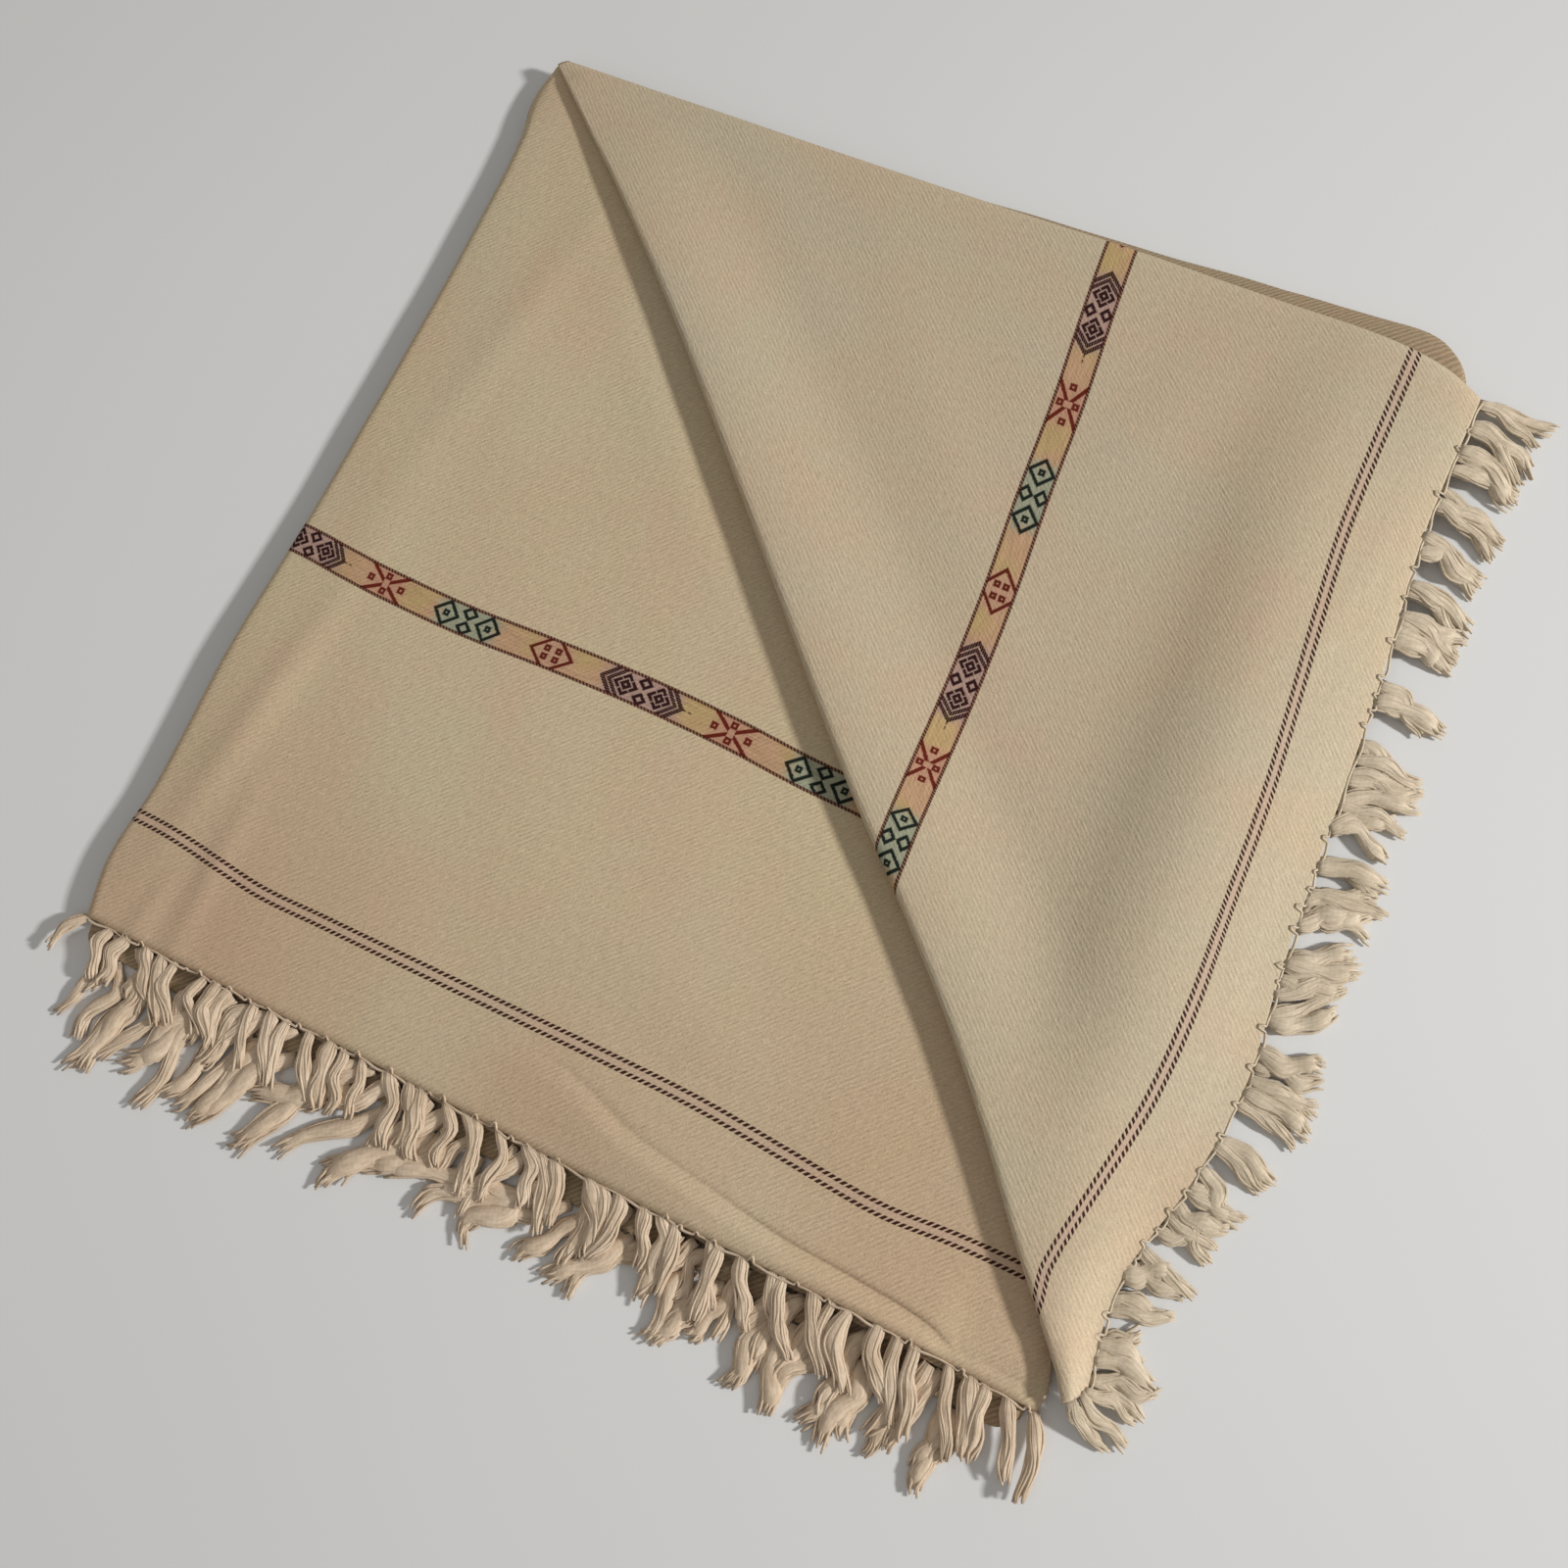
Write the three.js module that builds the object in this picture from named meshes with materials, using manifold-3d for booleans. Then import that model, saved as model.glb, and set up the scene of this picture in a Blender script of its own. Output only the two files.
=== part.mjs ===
// A wool shawl folded to a square, with one corner of its top layer turned back along the diagonal.
// Millimetres, +Z up. The origin is the middle of the folded square, on the surface it lies on.
// +X runs along the fringed side, and +Y runs from the fringe to the top fold.

import * as THREE from "three";
import Module from "manifold-3d";

const wasm = await Module();
wasm.setup();

// Driving dimensions
const SIDE = 650; // side of the folded square
const HALF = SIDE / 2;
const CLOTH = 1.2; // thickness of one layer
const SEAM = 0.3; // gap between a fringe's strip and the edge it is sewn to
const LAY = 0.8; // air between one layer and the next
const STACK_HEIGHT = 11; // the hidden layers together
const LIP_COUNT = 3; // folded pairs that show round the edge of the hidden layers
const LIP_ZONE = 8; // height of the edge that the lips share
const GROOVE = 2.4; // depth of the groove between two lips
const FOLD_TURNS = 6; // facets round the soft fold of the turned corner

// Materials, with the photograph's colours
const FACE_WOOL = { color: 0xbfa888, roughness: 0.92, metalness: 0 };
const REVERSE_WOOL = { color: 0xb9aa8a, roughness: 0.92, metalness: 0 };
const INNER_WOOL = { color: 0xb09a7c, roughness: 0.94, metalness: 0 };
const YARN = { color: 0xcbb697, roughness: 0.9, metalness: 0 };

// How far each lip reaches past the square, from the lowest to the highest
const LIPS = [
  { left: -4, right: -14, fringe: 24, topLeft: -2, topRight: 30 },
  { left: -5, right: -15, fringe: 9, topLeft: -1, topRight: 29 },
  { left: -7, right: -16, fringe: -5, topLeft: -5, topRight: 27 },
];
const TOP_BOW = 4; // the top fold bows in by this at its middle
const CORNER_ROUND = { fringeLeft: 14, fringeRight: 18, topRight: 48, topLeft: 10 };
const SIDE_STEPS = 9; // facets along one side
const CORNER_STEPS = 4; // facets round one corner

// A lip's nose in section: share of its height, and share of the groove's depth
const NOSE = [
  { height: 0, inset: 0.9 },
  { height: 0.2, inset: 0.22 },
  { height: 0.5, inset: 0 },
  { height: 0.8, inset: 0.22 },
  { height: 1, inset: 0.9 },
];

// How the top of the hidden layers falls towards the edge of the highest lip
const SHOULDER = [
  { at: 0, fall: 3 },
  { at: 2, fall: 2.3 },
  { at: 6, fall: 1.6 },
  { at: 14, fall: 0.95 },
  { at: 28, fall: 0.45 },
  { at: 50, fall: 0.12 },
  { at: 80, fall: 0 },
];

// The second layer: its left fold and its fringed edge, seen from above
const LEFT_FOLD = [
  { at: -332, x: -321 },
  { at: -290, x: -329 },
  { at: -240, x: -325 },
  { at: -140, x: -328 },
  { at: -40, x: -324.5 },
  { at: 100, x: -323 },
  { at: 200, x: -324.5 },
  { at: 260, x: -328 },
  { at: 290, x: -335 },
  { at: 318, x: -332 },
];
const SECOND_FRINGE = [
  { at: -321, y: -332 },
  { at: -146, y: -330 },
  { at: 63, y: -330 },
  { at: 223, y: -327.5 },
  { at: 312, y: -330 },
];
const SECOND_RIGHT = 298;
const SECOND_TOP = [
  { at: -332, y: 317 },
  { at: -230, y: 319 },
  { at: 0, y: 321 },
  { at: SECOND_RIGHT, y: 322 },
];
const EDGE_DROOP = [
  { at: 0, fall: 2.4 },
  { at: 1.2, fall: 1.2 },
  { at: 2.6, fall: 0.4 },
  { at: 4.5, fall: 0 },
];
const NEAR_EDGE = [0, 1.2, 3, 6.5, 14, 28, 52]; // grid lines of the second layer beside its edges
const FAR_EDGE = [40, 18, 6, 0]; // and beside the edges that the turned corner hides
const INNER_STEPS = 9; // even steps between them

// Broad soft swells of the layers: centre, half widths along and across, turn in degrees, rise
const SWELLS = [
  { x: -90, y: -190, along: 250, across: 95, turn: -6, rise: 2.6 },
  { x: -235, y: 150, along: 150, across: 60, turn: 68, rise: 1.6 },
  { x: -150, y: 235, along: 110, across: 42, turn: -42, rise: 1.1 },
  { x: 140, y: -318, along: 120, across: 20, turn: -8, rise: 1.5 },
];

// The turned corner: the soft fold along the diagonal, from the apex down to the fringe
const FOLD = [
  { at: 0, out: -9, radius: 2 },
  { at: 60, out: -4, radius: 3 },
  { at: 122, out: 1.5, radius: 4 },
  { at: 223, out: 7, radius: 5 },
  { at: 373, out: 9, radius: 5.4 },
  { at: 554, out: 10, radius: 5.4 },
  { at: 640, out: 15, radius: 5.4 },
  { at: 707, out: 17, radius: 5.2 },
  { at: 770, out: 15, radius: 4.8 },
  { at: 830, out: 10.5, radius: 4.4 },
  { at: 898, out: 7.5, radius: 4 },
  { at: 916, out: 4.5, radius: 3.6 },
];
const FOLD_START = 4;
const FOLD_END = 915;
const FLAP_CORNER = { x: 317.5, y: 318 };
const FLAP_TOP_EDGE = [
  { at: -328, y: 321 },
  { at: -122, y: 325 },
  { at: -17, y: 327.5 },
  { at: 91, y: 331 },
  { at: 177, y: 331.5 },
  { at: 254, y: 331 },
  { at: 290, y: 327 },
  { at: FLAP_CORNER.x, y: FLAP_CORNER.y },
];
const FLAP_FRINGE = [
  { at: -315, x: 337 },
  { at: -272, x: 330 },
  { at: -240, x: 330 },
  { at: -183, x: 343 },
  { at: -120, x: 349 },
  { at: -60, x: 343 },
  { at: 20, x: 337 },
  { at: 130, x: 329 },
  { at: 225, x: 318.5 },
  { at: FLAP_CORNER.y, x: FLAP_CORNER.x },
];

// Height of the turned corner's middle surface, by distance from its fringed edge,
// at five stations up the fringed side
const FLAP_STATIONS = [
  { at: -290, column: "end" },
  { at: -150, column: "lower" },
  { at: 0, column: "middle" },
  { at: 150, column: "upper" },
  { at: 300, column: "top" },
];
const FLAP_HEIGHT = [
  { at: 0, end: 5.4, lower: 5.2, middle: 6.8, upper: 9, top: 12.4 },
  { at: 10, end: 8.6, lower: 8.2, middle: 10, upper: 12.4, top: 14.6 },
  { at: 25, end: 12.6, lower: 13, middle: 14.8, upper: 16, top: 16.6 },
  { at: 45, end: 16.2, lower: 17.4, middle: 18.6, upper: 18.6, top: 17.8 },
  { at: 70, end: 18.2, lower: 19.8, middle: 20.4, upper: 19.8, top: 18.2 },
  { at: 100, end: 18, lower: 19.2, middle: 19.2, upper: 18.6, top: 17.4 },
  { at: 140, end: 17, lower: 17.4, middle: 16.8, upper: 16.6, top: 16.6 },
  { at: 180, end: 17, lower: 16.8, middle: 16.2, upper: 16.2, top: 16.2 },
  { at: 240, end: 17, lower: 17.6, middle: 17, upper: 16.6, top: 16.4 },
  { at: 330, end: 17, lower: 17.6, middle: 18.2, upper: 17.2, top: 16.4 },
  { at: 660, end: 17, lower: 17.6, middle: 18, upper: 17.2, top: 16.2 },
];
const FLAP_TOP_FALL = [
  { at: 0, fall: 3.2 },
  { at: 3, fall: 1.9 },
  { at: 8, fall: 1 },
  { at: 20, fall: 0.3 },
  { at: 34, fall: 0 },
];
const FOLD_SETTLE = 80; // the upper leaf settles from the fold within this distance
const LOWER_LEAF_INSET = 30; // the leaf below ends this far inside the turned corner

// Fringe rows: how long the strands are and where they head, in degrees from straight out,
// turned towards the row's end
const STRAND = { width: 6.6, height: 2.6 };
const STRIP = { width: 1.8, height: 1.8 };
const SECOND_STRANDS = [
  { at: 0, length: 40, heading: -46, curl: -7 },
  { at: 0.03, length: 38, heading: 8, curl: -4 },
  { at: 0.2, length: 42, heading: 12, curl: -5 },
  { at: 0.4, length: 44, heading: 20, curl: 4 },
  { at: 0.6, length: 42, heading: 22, curl: 4 },
  { at: 0.8, length: 46, heading: 22, curl: -5 },
  { at: 1, length: 48, heading: 18, curl: 4 },
];
const LOWER_STRANDS = [
  { at: 0, length: 66, heading: -36, curl: 4 },
  { at: 0.25, length: 62, heading: -40, curl: -4 },
  { at: 0.5, length: 58, heading: -42, curl: 4 },
  { at: 0.75, length: 52, heading: -32, curl: -4 },
  { at: 0.88, length: 50, heading: -8, curl: 3 },
  { at: 1, length: 48, heading: 2, curl: 3 },
];
const FLAP_STRANDS = [
  { at: 0, length: 40, heading: -42, curl: 2 },
  { at: 0.05, length: 32, heading: 20, curl: 3 },
  { at: 0.16, length: 34, heading: 6, curl: -3 },
  { at: 0.24, length: 36, heading: -24, curl: 4 },
  { at: 0.34, length: 40, heading: 18, curl: -3 },
  { at: 0.52, length: 42, heading: 16, curl: 3 },
  { at: 0.64, length: 40, heading: -6, curl: 5 },
  { at: 0.84, length: 42, heading: -13, curl: 5 },
  { at: 1, length: 50, heading: -16, curl: 5 },
];

// A smooth curve through one column of a table: cubic pieces that share their slopes.
function curve(rows, column) {
  const slope = (i) => {
    const before = rows[Math.max(i - 1, 0)];
    const after = rows[Math.min(i + 1, rows.length - 1)];
    return (after[column] - before[column]) / (after.at - before.at);
  };
  return (at) => {
    let i = 0;
    while (i < rows.length - 2 && at > rows[i + 1].at) i += 1;
    const width = rows[i + 1].at - rows[i].at;
    const t = THREE.MathUtils.clamp((at - rows[i].at) / width, 0, 1);
    const rise = rows[i + 1][column] - rows[i][column];
    const bend = (slope(i) * width - rise) * (1 - t) - (slope(i + 1) * width - rise) * t;
    return rows[i][column] + rise * t + bend * t * (1 - t);
  };
}

const shoulderFall = curve(SHOULDER, "fall");
const edgeDroop = curve(EDGE_DROOP, "fall");
const leftFold = curve(LEFT_FOLD, "x");
const secondFringe = curve(SECOND_FRINGE, "y");
const secondTop = curve(SECOND_TOP, "y");
const foldOut = curve(FOLD, "out");
const foldRadius = curve(FOLD, "radius");
const flapTopEdge = curve(FLAP_TOP_EDGE, "y");
const flapFringe = curve(FLAP_FRINGE, "x");
const flapTopFall = curve(FLAP_TOP_FALL, "fall");

// Distances from one edge to the other: close together beside both edges, and even between.
function fromEdge(width) {
  const start = NEAR_EDGE[NEAR_EDGE.length - 1];
  const end = width - FAR_EDGE[0];
  const between = Array.from({ length: INNER_STEPS - 1 }, (_, i) =>
    THREE.MathUtils.lerp(start, end, (i + 1) / INNER_STEPS),
  );
  return [...NEAR_EDGE, ...between, ...FAR_EDGE.map((d) => width - d)];
}

// Numbers from 0 to 1, closer together near both ends.
function spread(steps) {
  const CROWDING = 0.6;
  return Array.from({ length: steps + 1 }, (_, i) => {
    const t = i / steps;
    return t - (CROWDING * Math.sin(2 * Math.PI * t)) / (2 * Math.PI);
  });
}

// A number from -1 to 1 that looks random, the same each time for the same place in a row.
function scatter(place, kind) {
  const wave = Math.sin(place * 12.9898 + kind * 78.233) * 437.585;
  return 2 * (wave - Math.floor(wave)) - 1;
}

// The closed outline of the hidden layers at one height, from its corner at the fringe and left.
function stackOutline(lip, inset) {
  const left = -HALF - lip.left + inset;
  const right = HALF + lip.right - inset;
  const fringe = -HALF - lip.fringe + inset;
  const corners = [
    { x: left, y: fringe, round: CORNER_ROUND.fringeLeft },
    { x: right, y: fringe, round: CORNER_ROUND.fringeRight },
    { x: right, y: HALF + lip.topRight - inset, round: CORNER_ROUND.topRight },
    { x: left, y: HALF + lip.topLeft - inset, round: CORNER_ROUND.topLeft },
  ].map((c) => ({ at: new THREE.Vector2(c.x, c.y), round: c.round }));
  const ring = [];
  corners.forEach((corner, i) => {
    const before = corners[(i + 3) % 4].at;
    const next = corners[(i + 1) % 4];
    const into = before.clone().sub(corner.at).setLength(corner.round);
    const out = next.at.clone().sub(corner.at).setLength(corner.round);
    const bend = new THREE.QuadraticBezierCurve(
      corner.at.clone().add(into),
      corner.at,
      corner.at.clone().add(out),
    );
    ring.push(...bend.getPoints(CORNER_STEPS));
    const start = corner.at.clone().add(out);
    const back = corner.at.clone().sub(next.at).setLength(next.round);
    const end = next.at.clone().add(back);
    const bow = i === 2 ? TOP_BOW : 0;
    for (let step = 1; step < SIDE_STEPS; step += 1) {
      const t = step / SIDE_STEPS;
      const point = start.clone().lerp(end, t);
      point.y -= bow * Math.sin(Math.PI * t);
      ring.push(point);
    }
  });
  return ring;
}

// How far a point lies inside the highest lip's outline: a soft minimum over its four sides.
function insideStack(x, y) {
  const lip = LIPS[LIP_COUNT - 1];
  const across = THREE.MathUtils.clamp((x + HALF) / SIDE, 0, 1);
  const top = HALF + THREE.MathUtils.lerp(lip.topLeft, lip.topRight, across);
  const sides = [
    x + HALF + lip.left,
    HALF + lip.right - x,
    y + HALF + lip.fringe,
    top - TOP_BOW * Math.sin(Math.PI * across) - y,
  ];
  const SOFTNESS = 3;
  const sum = sides.reduce((total, d) => total + Math.max(d, 0.2) ** -SOFTNESS, 0);
  return sum ** (-1 / SOFTNESS);
}

// Rise of the broad swells at a point.
function swellAt(x, y) {
  return SWELLS.reduce((total, swell) => {
    const turn = THREE.MathUtils.degToRad(swell.turn);
    const u = (x - swell.x) * Math.cos(turn) + (y - swell.y) * Math.sin(turn);
    const v = (y - swell.y) * Math.cos(turn) - (x - swell.x) * Math.sin(turn);
    return total + swell.rise * Math.exp(-((u / swell.along) ** 2) - (v / swell.across) ** 2);
  }, 0);
}

// Height of the second layer's middle surface.
function secondHeight(x, y) {
  const bed = STACK_HEIGHT - shoulderFall(insideStack(x, y));
  const droop = Math.max(edgeDroop(x - leftFold(y)), edgeDroop(y - secondFringe(x)));
  return bed + LAY + CLOTH / 2 + swellAt(x, y) - droop;
}

// Height of the leaf below the turned corner, which springs a little at its free edges.
function lowerLeafHeight(x, y) {
  const EDGE_SPRING = 0.8;
  const EDGE_WIDTH = 30;
  const inward = THREE.MathUtils.smoothstep(insideStack(x, y), 0, EDGE_WIDTH);
  return secondHeight(x, y) + CLOTH + LAY + EDGE_SPRING * (1 - inward);
}

const flapColumns = FLAP_STATIONS.map(({ at, column }) => ({
  at,
  height: curve(FLAP_HEIGHT, column),
}));

// Height of the turned corner's middle surface where it lies clear of the fold.
function upperLeafHeight(x, y) {
  const fromFringe = flapFringe(y) - x;
  const rows = flapColumns.map(({ at, height }) => ({ at, z: height(fromFringe) }));
  return curve(rows, "z")(y) - flapTopFall(flapTopEdge(x) - y);
}

// Plan position from a place along the diagonal and a distance from it towards the far corner.
function onDiagonal(along, off) {
  return {
    x: -HALF + (along + off) / Math.SQRT2,
    y: HALF - (along - off) / Math.SQRT2,
  };
}

// A closed shell of even thickness over a grid of points on its middle surface.
function clothWall(grid) {
  const lastRow = grid.length - 1;
  const lastColumn = grid[0].length - 1;
  const at = (i, j) => grid[i][j];
  const normal = (i, j) => {
    const down = at(Math.min(i + 1, lastRow), j).clone().sub(at(Math.max(i - 1, 0), j));
    const over = at(i, Math.min(j + 1, lastColumn)).clone().sub(at(i, Math.max(j - 1, 0)));
    return down.cross(over).setLength(CLOTH / 2);
  };
  const points = [];
  for (const side of [1, -1]) {
    for (let i = 0; i <= lastRow; i += 1) {
      for (let j = 0; j <= lastColumn; j += 1) {
        points.push(at(i, j).clone().addScaledVector(normal(i, j), side));
      }
    }
  }
  const width = lastColumn + 1;
  const back = (lastRow + 1) * width;
  const faces = [];
  const quad = (a, b, c, d) => faces.push(a, b, c, a, c, d);
  for (let i = 0; i < lastRow; i += 1) {
    for (let j = 0; j < lastColumn; j += 1) {
      const a = i * width + j;
      quad(a, a + width, a + width + 1, a + 1);
      quad(back + a, back + a + 1, back + a + width + 1, back + a + width);
    }
  }
  const border = [];
  for (let i = 0; i < lastRow; i += 1) border.push(i * width);
  for (let j = 0; j < lastColumn; j += 1) border.push(lastRow * width + j);
  for (let i = lastRow; i > 0; i -= 1) border.push(i * width + lastColumn);
  for (let j = lastColumn; j > 0; j -= 1) border.push(j);
  border.forEach((from, k) => {
    const to = border[(k + 1) % border.length];
    quad(to, from, back + from, back + to);
  });
  return closedGeometry(points, faces);
}

function closedGeometry(points, faces) {
  const geometry = new THREE.BufferGeometry().setFromPoints(points);
  return geometry.setIndex(faces);
}

// A closed solid through rings of equal length, capped by a fan at each end.
function ringedSolid(rings) {
  const count = rings[0].length;
  const points = rings.flat();
  const faces = [];
  for (let level = 0; level < rings.length - 1; level += 1) {
    for (let k = 0; k < count; k += 1) {
      const a = level * count + k;
      const b = level * count + ((k + 1) % count);
      faces.push(a, b, b + count, a, b + count, a + count);
    }
  }
  const middle = (ring) =>
    ring.reduce((sum, p) => sum.add(p), new THREE.Vector3()).divideScalar(count);
  const below = points.push(middle(rings[0])) - 1;
  const above = points.push(middle(rings[rings.length - 1])) - 1;
  const top = (rings.length - 1) * count;
  for (let k = 0; k < count; k += 1) {
    const next = (k + 1) % count;
    faces.push(below, next, k);
    faces.push(above, top + k, top + next);
  }
  return closedGeometry(points, faces);
}

// The hidden layers: three folded pairs whose noses show round the edge, with a soft shoulder on top.
function foldedStack() {
  const lipHeight = LIP_ZONE / LIP_COUNT;
  const LEDGE = 0.08; // keeps one lip's last ring below the next one's first
  const level = (lip, inset, z) =>
    stackOutline(lip, inset).map((p) => new THREE.Vector3(p.x, p.y, z));
  const rings = LIPS.flatMap((lip, i) => {
    const nose = i === LIP_COUNT - 1 ? NOSE.slice(0, 3) : NOSE;
    return nose.map((row) => {
      const lift = row.height === 0 && i > 0 ? LEDGE : 0;
      return level(lip, row.inset * GROOVE, (i + row.height) * lipHeight + lift);
    });
  });
  const highest = LIPS[LIP_COUNT - 1];
  for (const row of SHOULDER) {
    rings.push(level(highest, row.at, STACK_HEIGHT - row.fall));
  }
  return ringedSolid(rings);
}

// The second layer: a full square that shows on the left of the turned corner.
function secondLayerGrid() {
  const depth = secondTop(0) - secondFringe(0);
  const downShares = fromEdge(depth).map((d) => 1 - d / depth).reverse();
  return downShares.map((down) => {
    const level = THREE.MathUtils.lerp(secondTop(0), secondFringe(0), down);
    const left = leftFold(level);
    return fromEdge(SECOND_RIGHT - left).map((inward) => {
      const x = left + inward;
      const y = THREE.MathUtils.lerp(secondTop(x), secondFringe(x), down);
      return new THREE.Vector3(x, y, secondHeight(x, y));
    });
  });
}

// Distance from the diagonal to the turned corner's free edge, for one place along the fold.
function flapReach(along, cornerAlong) {
  const SOLVE_STEPS = 6;
  let off = Math.min(along, FOLD_END - along);
  for (let step = 0; step < SOLVE_STEPS; step += 1) {
    const { x, y } = onDiagonal(along, off);
    off =
      along <= cornerAlong
        ? (flapTopEdge(x) - HALF) * Math.SQRT2 + along
        : (flapFringe(y) + HALF) * Math.SQRT2 - along;
  }
  return off;
}

// The top layer: a lower leaf, a soft fold along the diagonal, and the turned corner above it.
function topLayerGrid() {
  const ROWS_ABOVE = 14;
  const ROWS_BELOW = 17;
  const LOWER_STEPS = 5;
  const LOWER_CROWDING = 3; // the lower leaf's steps grow with this power of their number
  const UPPER_STEPS = 13;
  const LEAST_LEAF = 1.5;
  const cornerAlong = (FLAP_CORNER.x - FLAP_CORNER.y + SIDE) / Math.SQRT2;
  const places = [];
  for (const t of spread(ROWS_ABOVE)) {
    places.push(THREE.MathUtils.lerp(FOLD_START, cornerAlong, t));
  }
  for (const t of spread(ROWS_BELOW).slice(1)) {
    places.push(THREE.MathUtils.lerp(cornerAlong, FOLD_END, t));
  }
  const rows = places.map((along) => {
    const radius = foldRadius(along);
    const axis = foldOut(along) + radius;
    const reach = flapReach(along, cornerAlong);
    const lowerReach = Math.max(reach - LOWER_LEAF_INSET, axis + LEAST_LEAF);
    const foot = onDiagonal(along, axis);
    const foldFoot = lowerLeafHeight(foot.x, foot.y);
    const crest = foldFoot + 2 * radius;
    const row = [];
    for (let j = 0; j < LOWER_STEPS; j += 1) {
      const off = THREE.MathUtils.lerp(lowerReach, axis, (j / LOWER_STEPS) ** LOWER_CROWDING);
      const { x, y } = onDiagonal(along, off);
      row.push(new THREE.Vector3(x, y, lowerLeafHeight(x, y)));
    }
    for (let j = 0; j < FOLD_TURNS; j += 1) {
      const turn = (Math.PI * j) / FOLD_TURNS;
      const { x, y } = onDiagonal(along, axis - radius * Math.sin(turn));
      row.push(new THREE.Vector3(x, y, foldFoot + radius * (1 - Math.cos(turn))));
    }
    const settle = Math.min(FOLD_SETTLE, reach - axis);
    for (const t of spread(UPPER_STEPS)) {
      const off = THREE.MathUtils.lerp(axis, reach, t);
      const { x, y } = onDiagonal(along, off);
      const settled = THREE.MathUtils.smoothstep(off - axis, 0, settle);
      const z = THREE.MathUtils.lerp(crest, upperLeafHeight(x, y), settled);
      row.push(new THREE.Vector3(x, y, z));
    }
    return row;
  });
  return { rows, cornerRow: ROWS_ABOVE };
}

// A path of straight pieces through points.
function pathThrough(points) {
  const path = new THREE.CurvePath();
  for (let i = 0; i < points.length - 1; i += 1) {
    path.add(new THREE.LineCurve3(points[i], points[i + 1]));
  }
  return path;
}

// A prism with a section at each stop: the section's corners are steps along side and up.
function tube(stops) {
  const rings = stops.map(({ centre, side, corners }) =>
    corners.map(([over, up]) =>
      centre.clone().addScaledVector(side, over).add(new THREE.Vector3(0, 0, up)),
    ),
  );
  const sides = rings[0].length;
  const faces = [];
  for (let i = 0; i < rings.length - 1; i += 1) {
    for (let k = 0; k < sides; k += 1) {
      const a = i * sides + k;
      const b = i * sides + ((k + 1) % sides);
      faces.push(a, b, b + sides, a, b + sides, a + sides);
    }
  }
  const end = (rings.length - 1) * sides;
  for (let k = 1; k < sides - 1; k += 1) {
    faces.push(0, k + 1, k, end, end + k, end + k + 1);
  }
  return closedGeometry(rings.flat(), faces);
}

function toSolid(geometry) {
  const mesh = new wasm.Mesh({
    numProp: 3,
    vertProperties: new Float32Array(geometry.attributes.position.array),
    triVerts: new Uint32Array(geometry.index.array),
  });
  return new wasm.Manifold(mesh);
}

function toGeometry(solid) {
  const mesh = solid.getMesh();
  const geometry = new THREE.BufferGeometry();
  geometry.setAttribute("position", new THREE.BufferAttribute(mesh.vertProperties, 3));
  return geometry.setIndex(new THREE.BufferAttribute(mesh.triVerts, 1));
}

// One strand: three sided, bowed sideways and sinking to where its tip lies.
function strand({ root, ahead, length, curl, tipHeight }) {
  const STEPS = 3;
  const SWAY = 1.35; // half waves of bow along the strand
  const TAPER = [0.5, 1, 0.95, 0.55];
  const side = new THREE.Vector3(-ahead.y, ahead.x, 0);
  const stops = TAPER.map((share, i) => {
    const t = i / STEPS;
    const centre = root.clone().addScaledVector(ahead, length * t);
    centre.addScaledVector(side, curl * Math.sin(Math.PI * SWAY * t));
    centre.z = THREE.MathUtils.lerp(root.z, tipHeight, Math.sin((Math.PI * t) / 2));
    const half = (STRAND.width * share) / 2;
    const low = (-STRAND.height * share) / 3;
    return { centre, side, corners: [[-half, low], [half, low], [0, -2 * low]] };
  });
  return tube(stops);
}

// A row of strands with their roots fused into a narrow strip that runs just outside an edge.
// The cloth lies on the left of the edge's points, seen from above.
function fringeRow({ edge, table, count, tipHeight }) {
  const EDGE_TILT = 0.45; // how far a sloping edge leans out past its middle
  const GAP = SEAM + EDGE_TILT + STRIP.width / 2;
  const ROOT_SET = 0.6; // the strands start this far beyond the strip's middle
  const END_MARGIN = 0.006;
  const HEADING_SCATTER = 5;
  const LENGTH_SCATTER = 4;
  const up = new THREE.Vector3(0, 0, 1);
  const heads = edge.map((_, i) => {
    const before = edge[Math.max(i - 1, 0)];
    const after = edge[Math.min(i + 1, edge.length - 1)];
    return after.clone().sub(before).setZ(0).normalize();
  });
  const outward = heads.map((head) => head.clone().cross(up));
  const centreLine = edge.map((p, i) => p.clone().addScaledVector(outward[i], GAP));
  const halfWidth = STRIP.width / 2;
  const halfHeight = STRIP.height / 2;
  const corners = [
    [-halfWidth, -halfHeight],
    [halfWidth, -halfHeight],
    [halfWidth, halfHeight],
    [-halfWidth, halfHeight],
  ];
  const sides = outward.map((out) => out.clone().negate());
  let solid = toSolid(tube(centreLine.map((centre, i) => ({ centre, side: sides[i], corners }))));
  const path = pathThrough(centreLine);
  const length = curve(table, "length");
  const heading = curve(table, "heading");
  const curl = curve(table, "curl");
  for (let k = 0; k < count; k += 1) {
    const place = THREE.MathUtils.lerp(END_MARGIN, 1 - END_MARGIN, k / (count - 1));
    const head = path.getTangentAt(place).setZ(0).normalize();
    const straight = head.clone().cross(up);
    const turn = THREE.MathUtils.degToRad(heading(place) + HEADING_SCATTER * scatter(k, 1));
    const ahead = straight.clone().multiplyScalar(Math.cos(turn));
    ahead.addScaledVector(head, Math.sin(turn));
    const piece = strand({
      root: path.getPointAt(place).addScaledVector(straight, ROOT_SET),
      ahead,
      length: length(place) + LENGTH_SCATTER * scatter(k, 2),
      curl: curl(place) * (0.7 + 0.5 * scatter(k, 3)),
      tipHeight,
    });
    solid = solid.add(toSolid(piece));
  }
  return toGeometry(solid);
}

const shawl = new THREE.Group();

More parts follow.
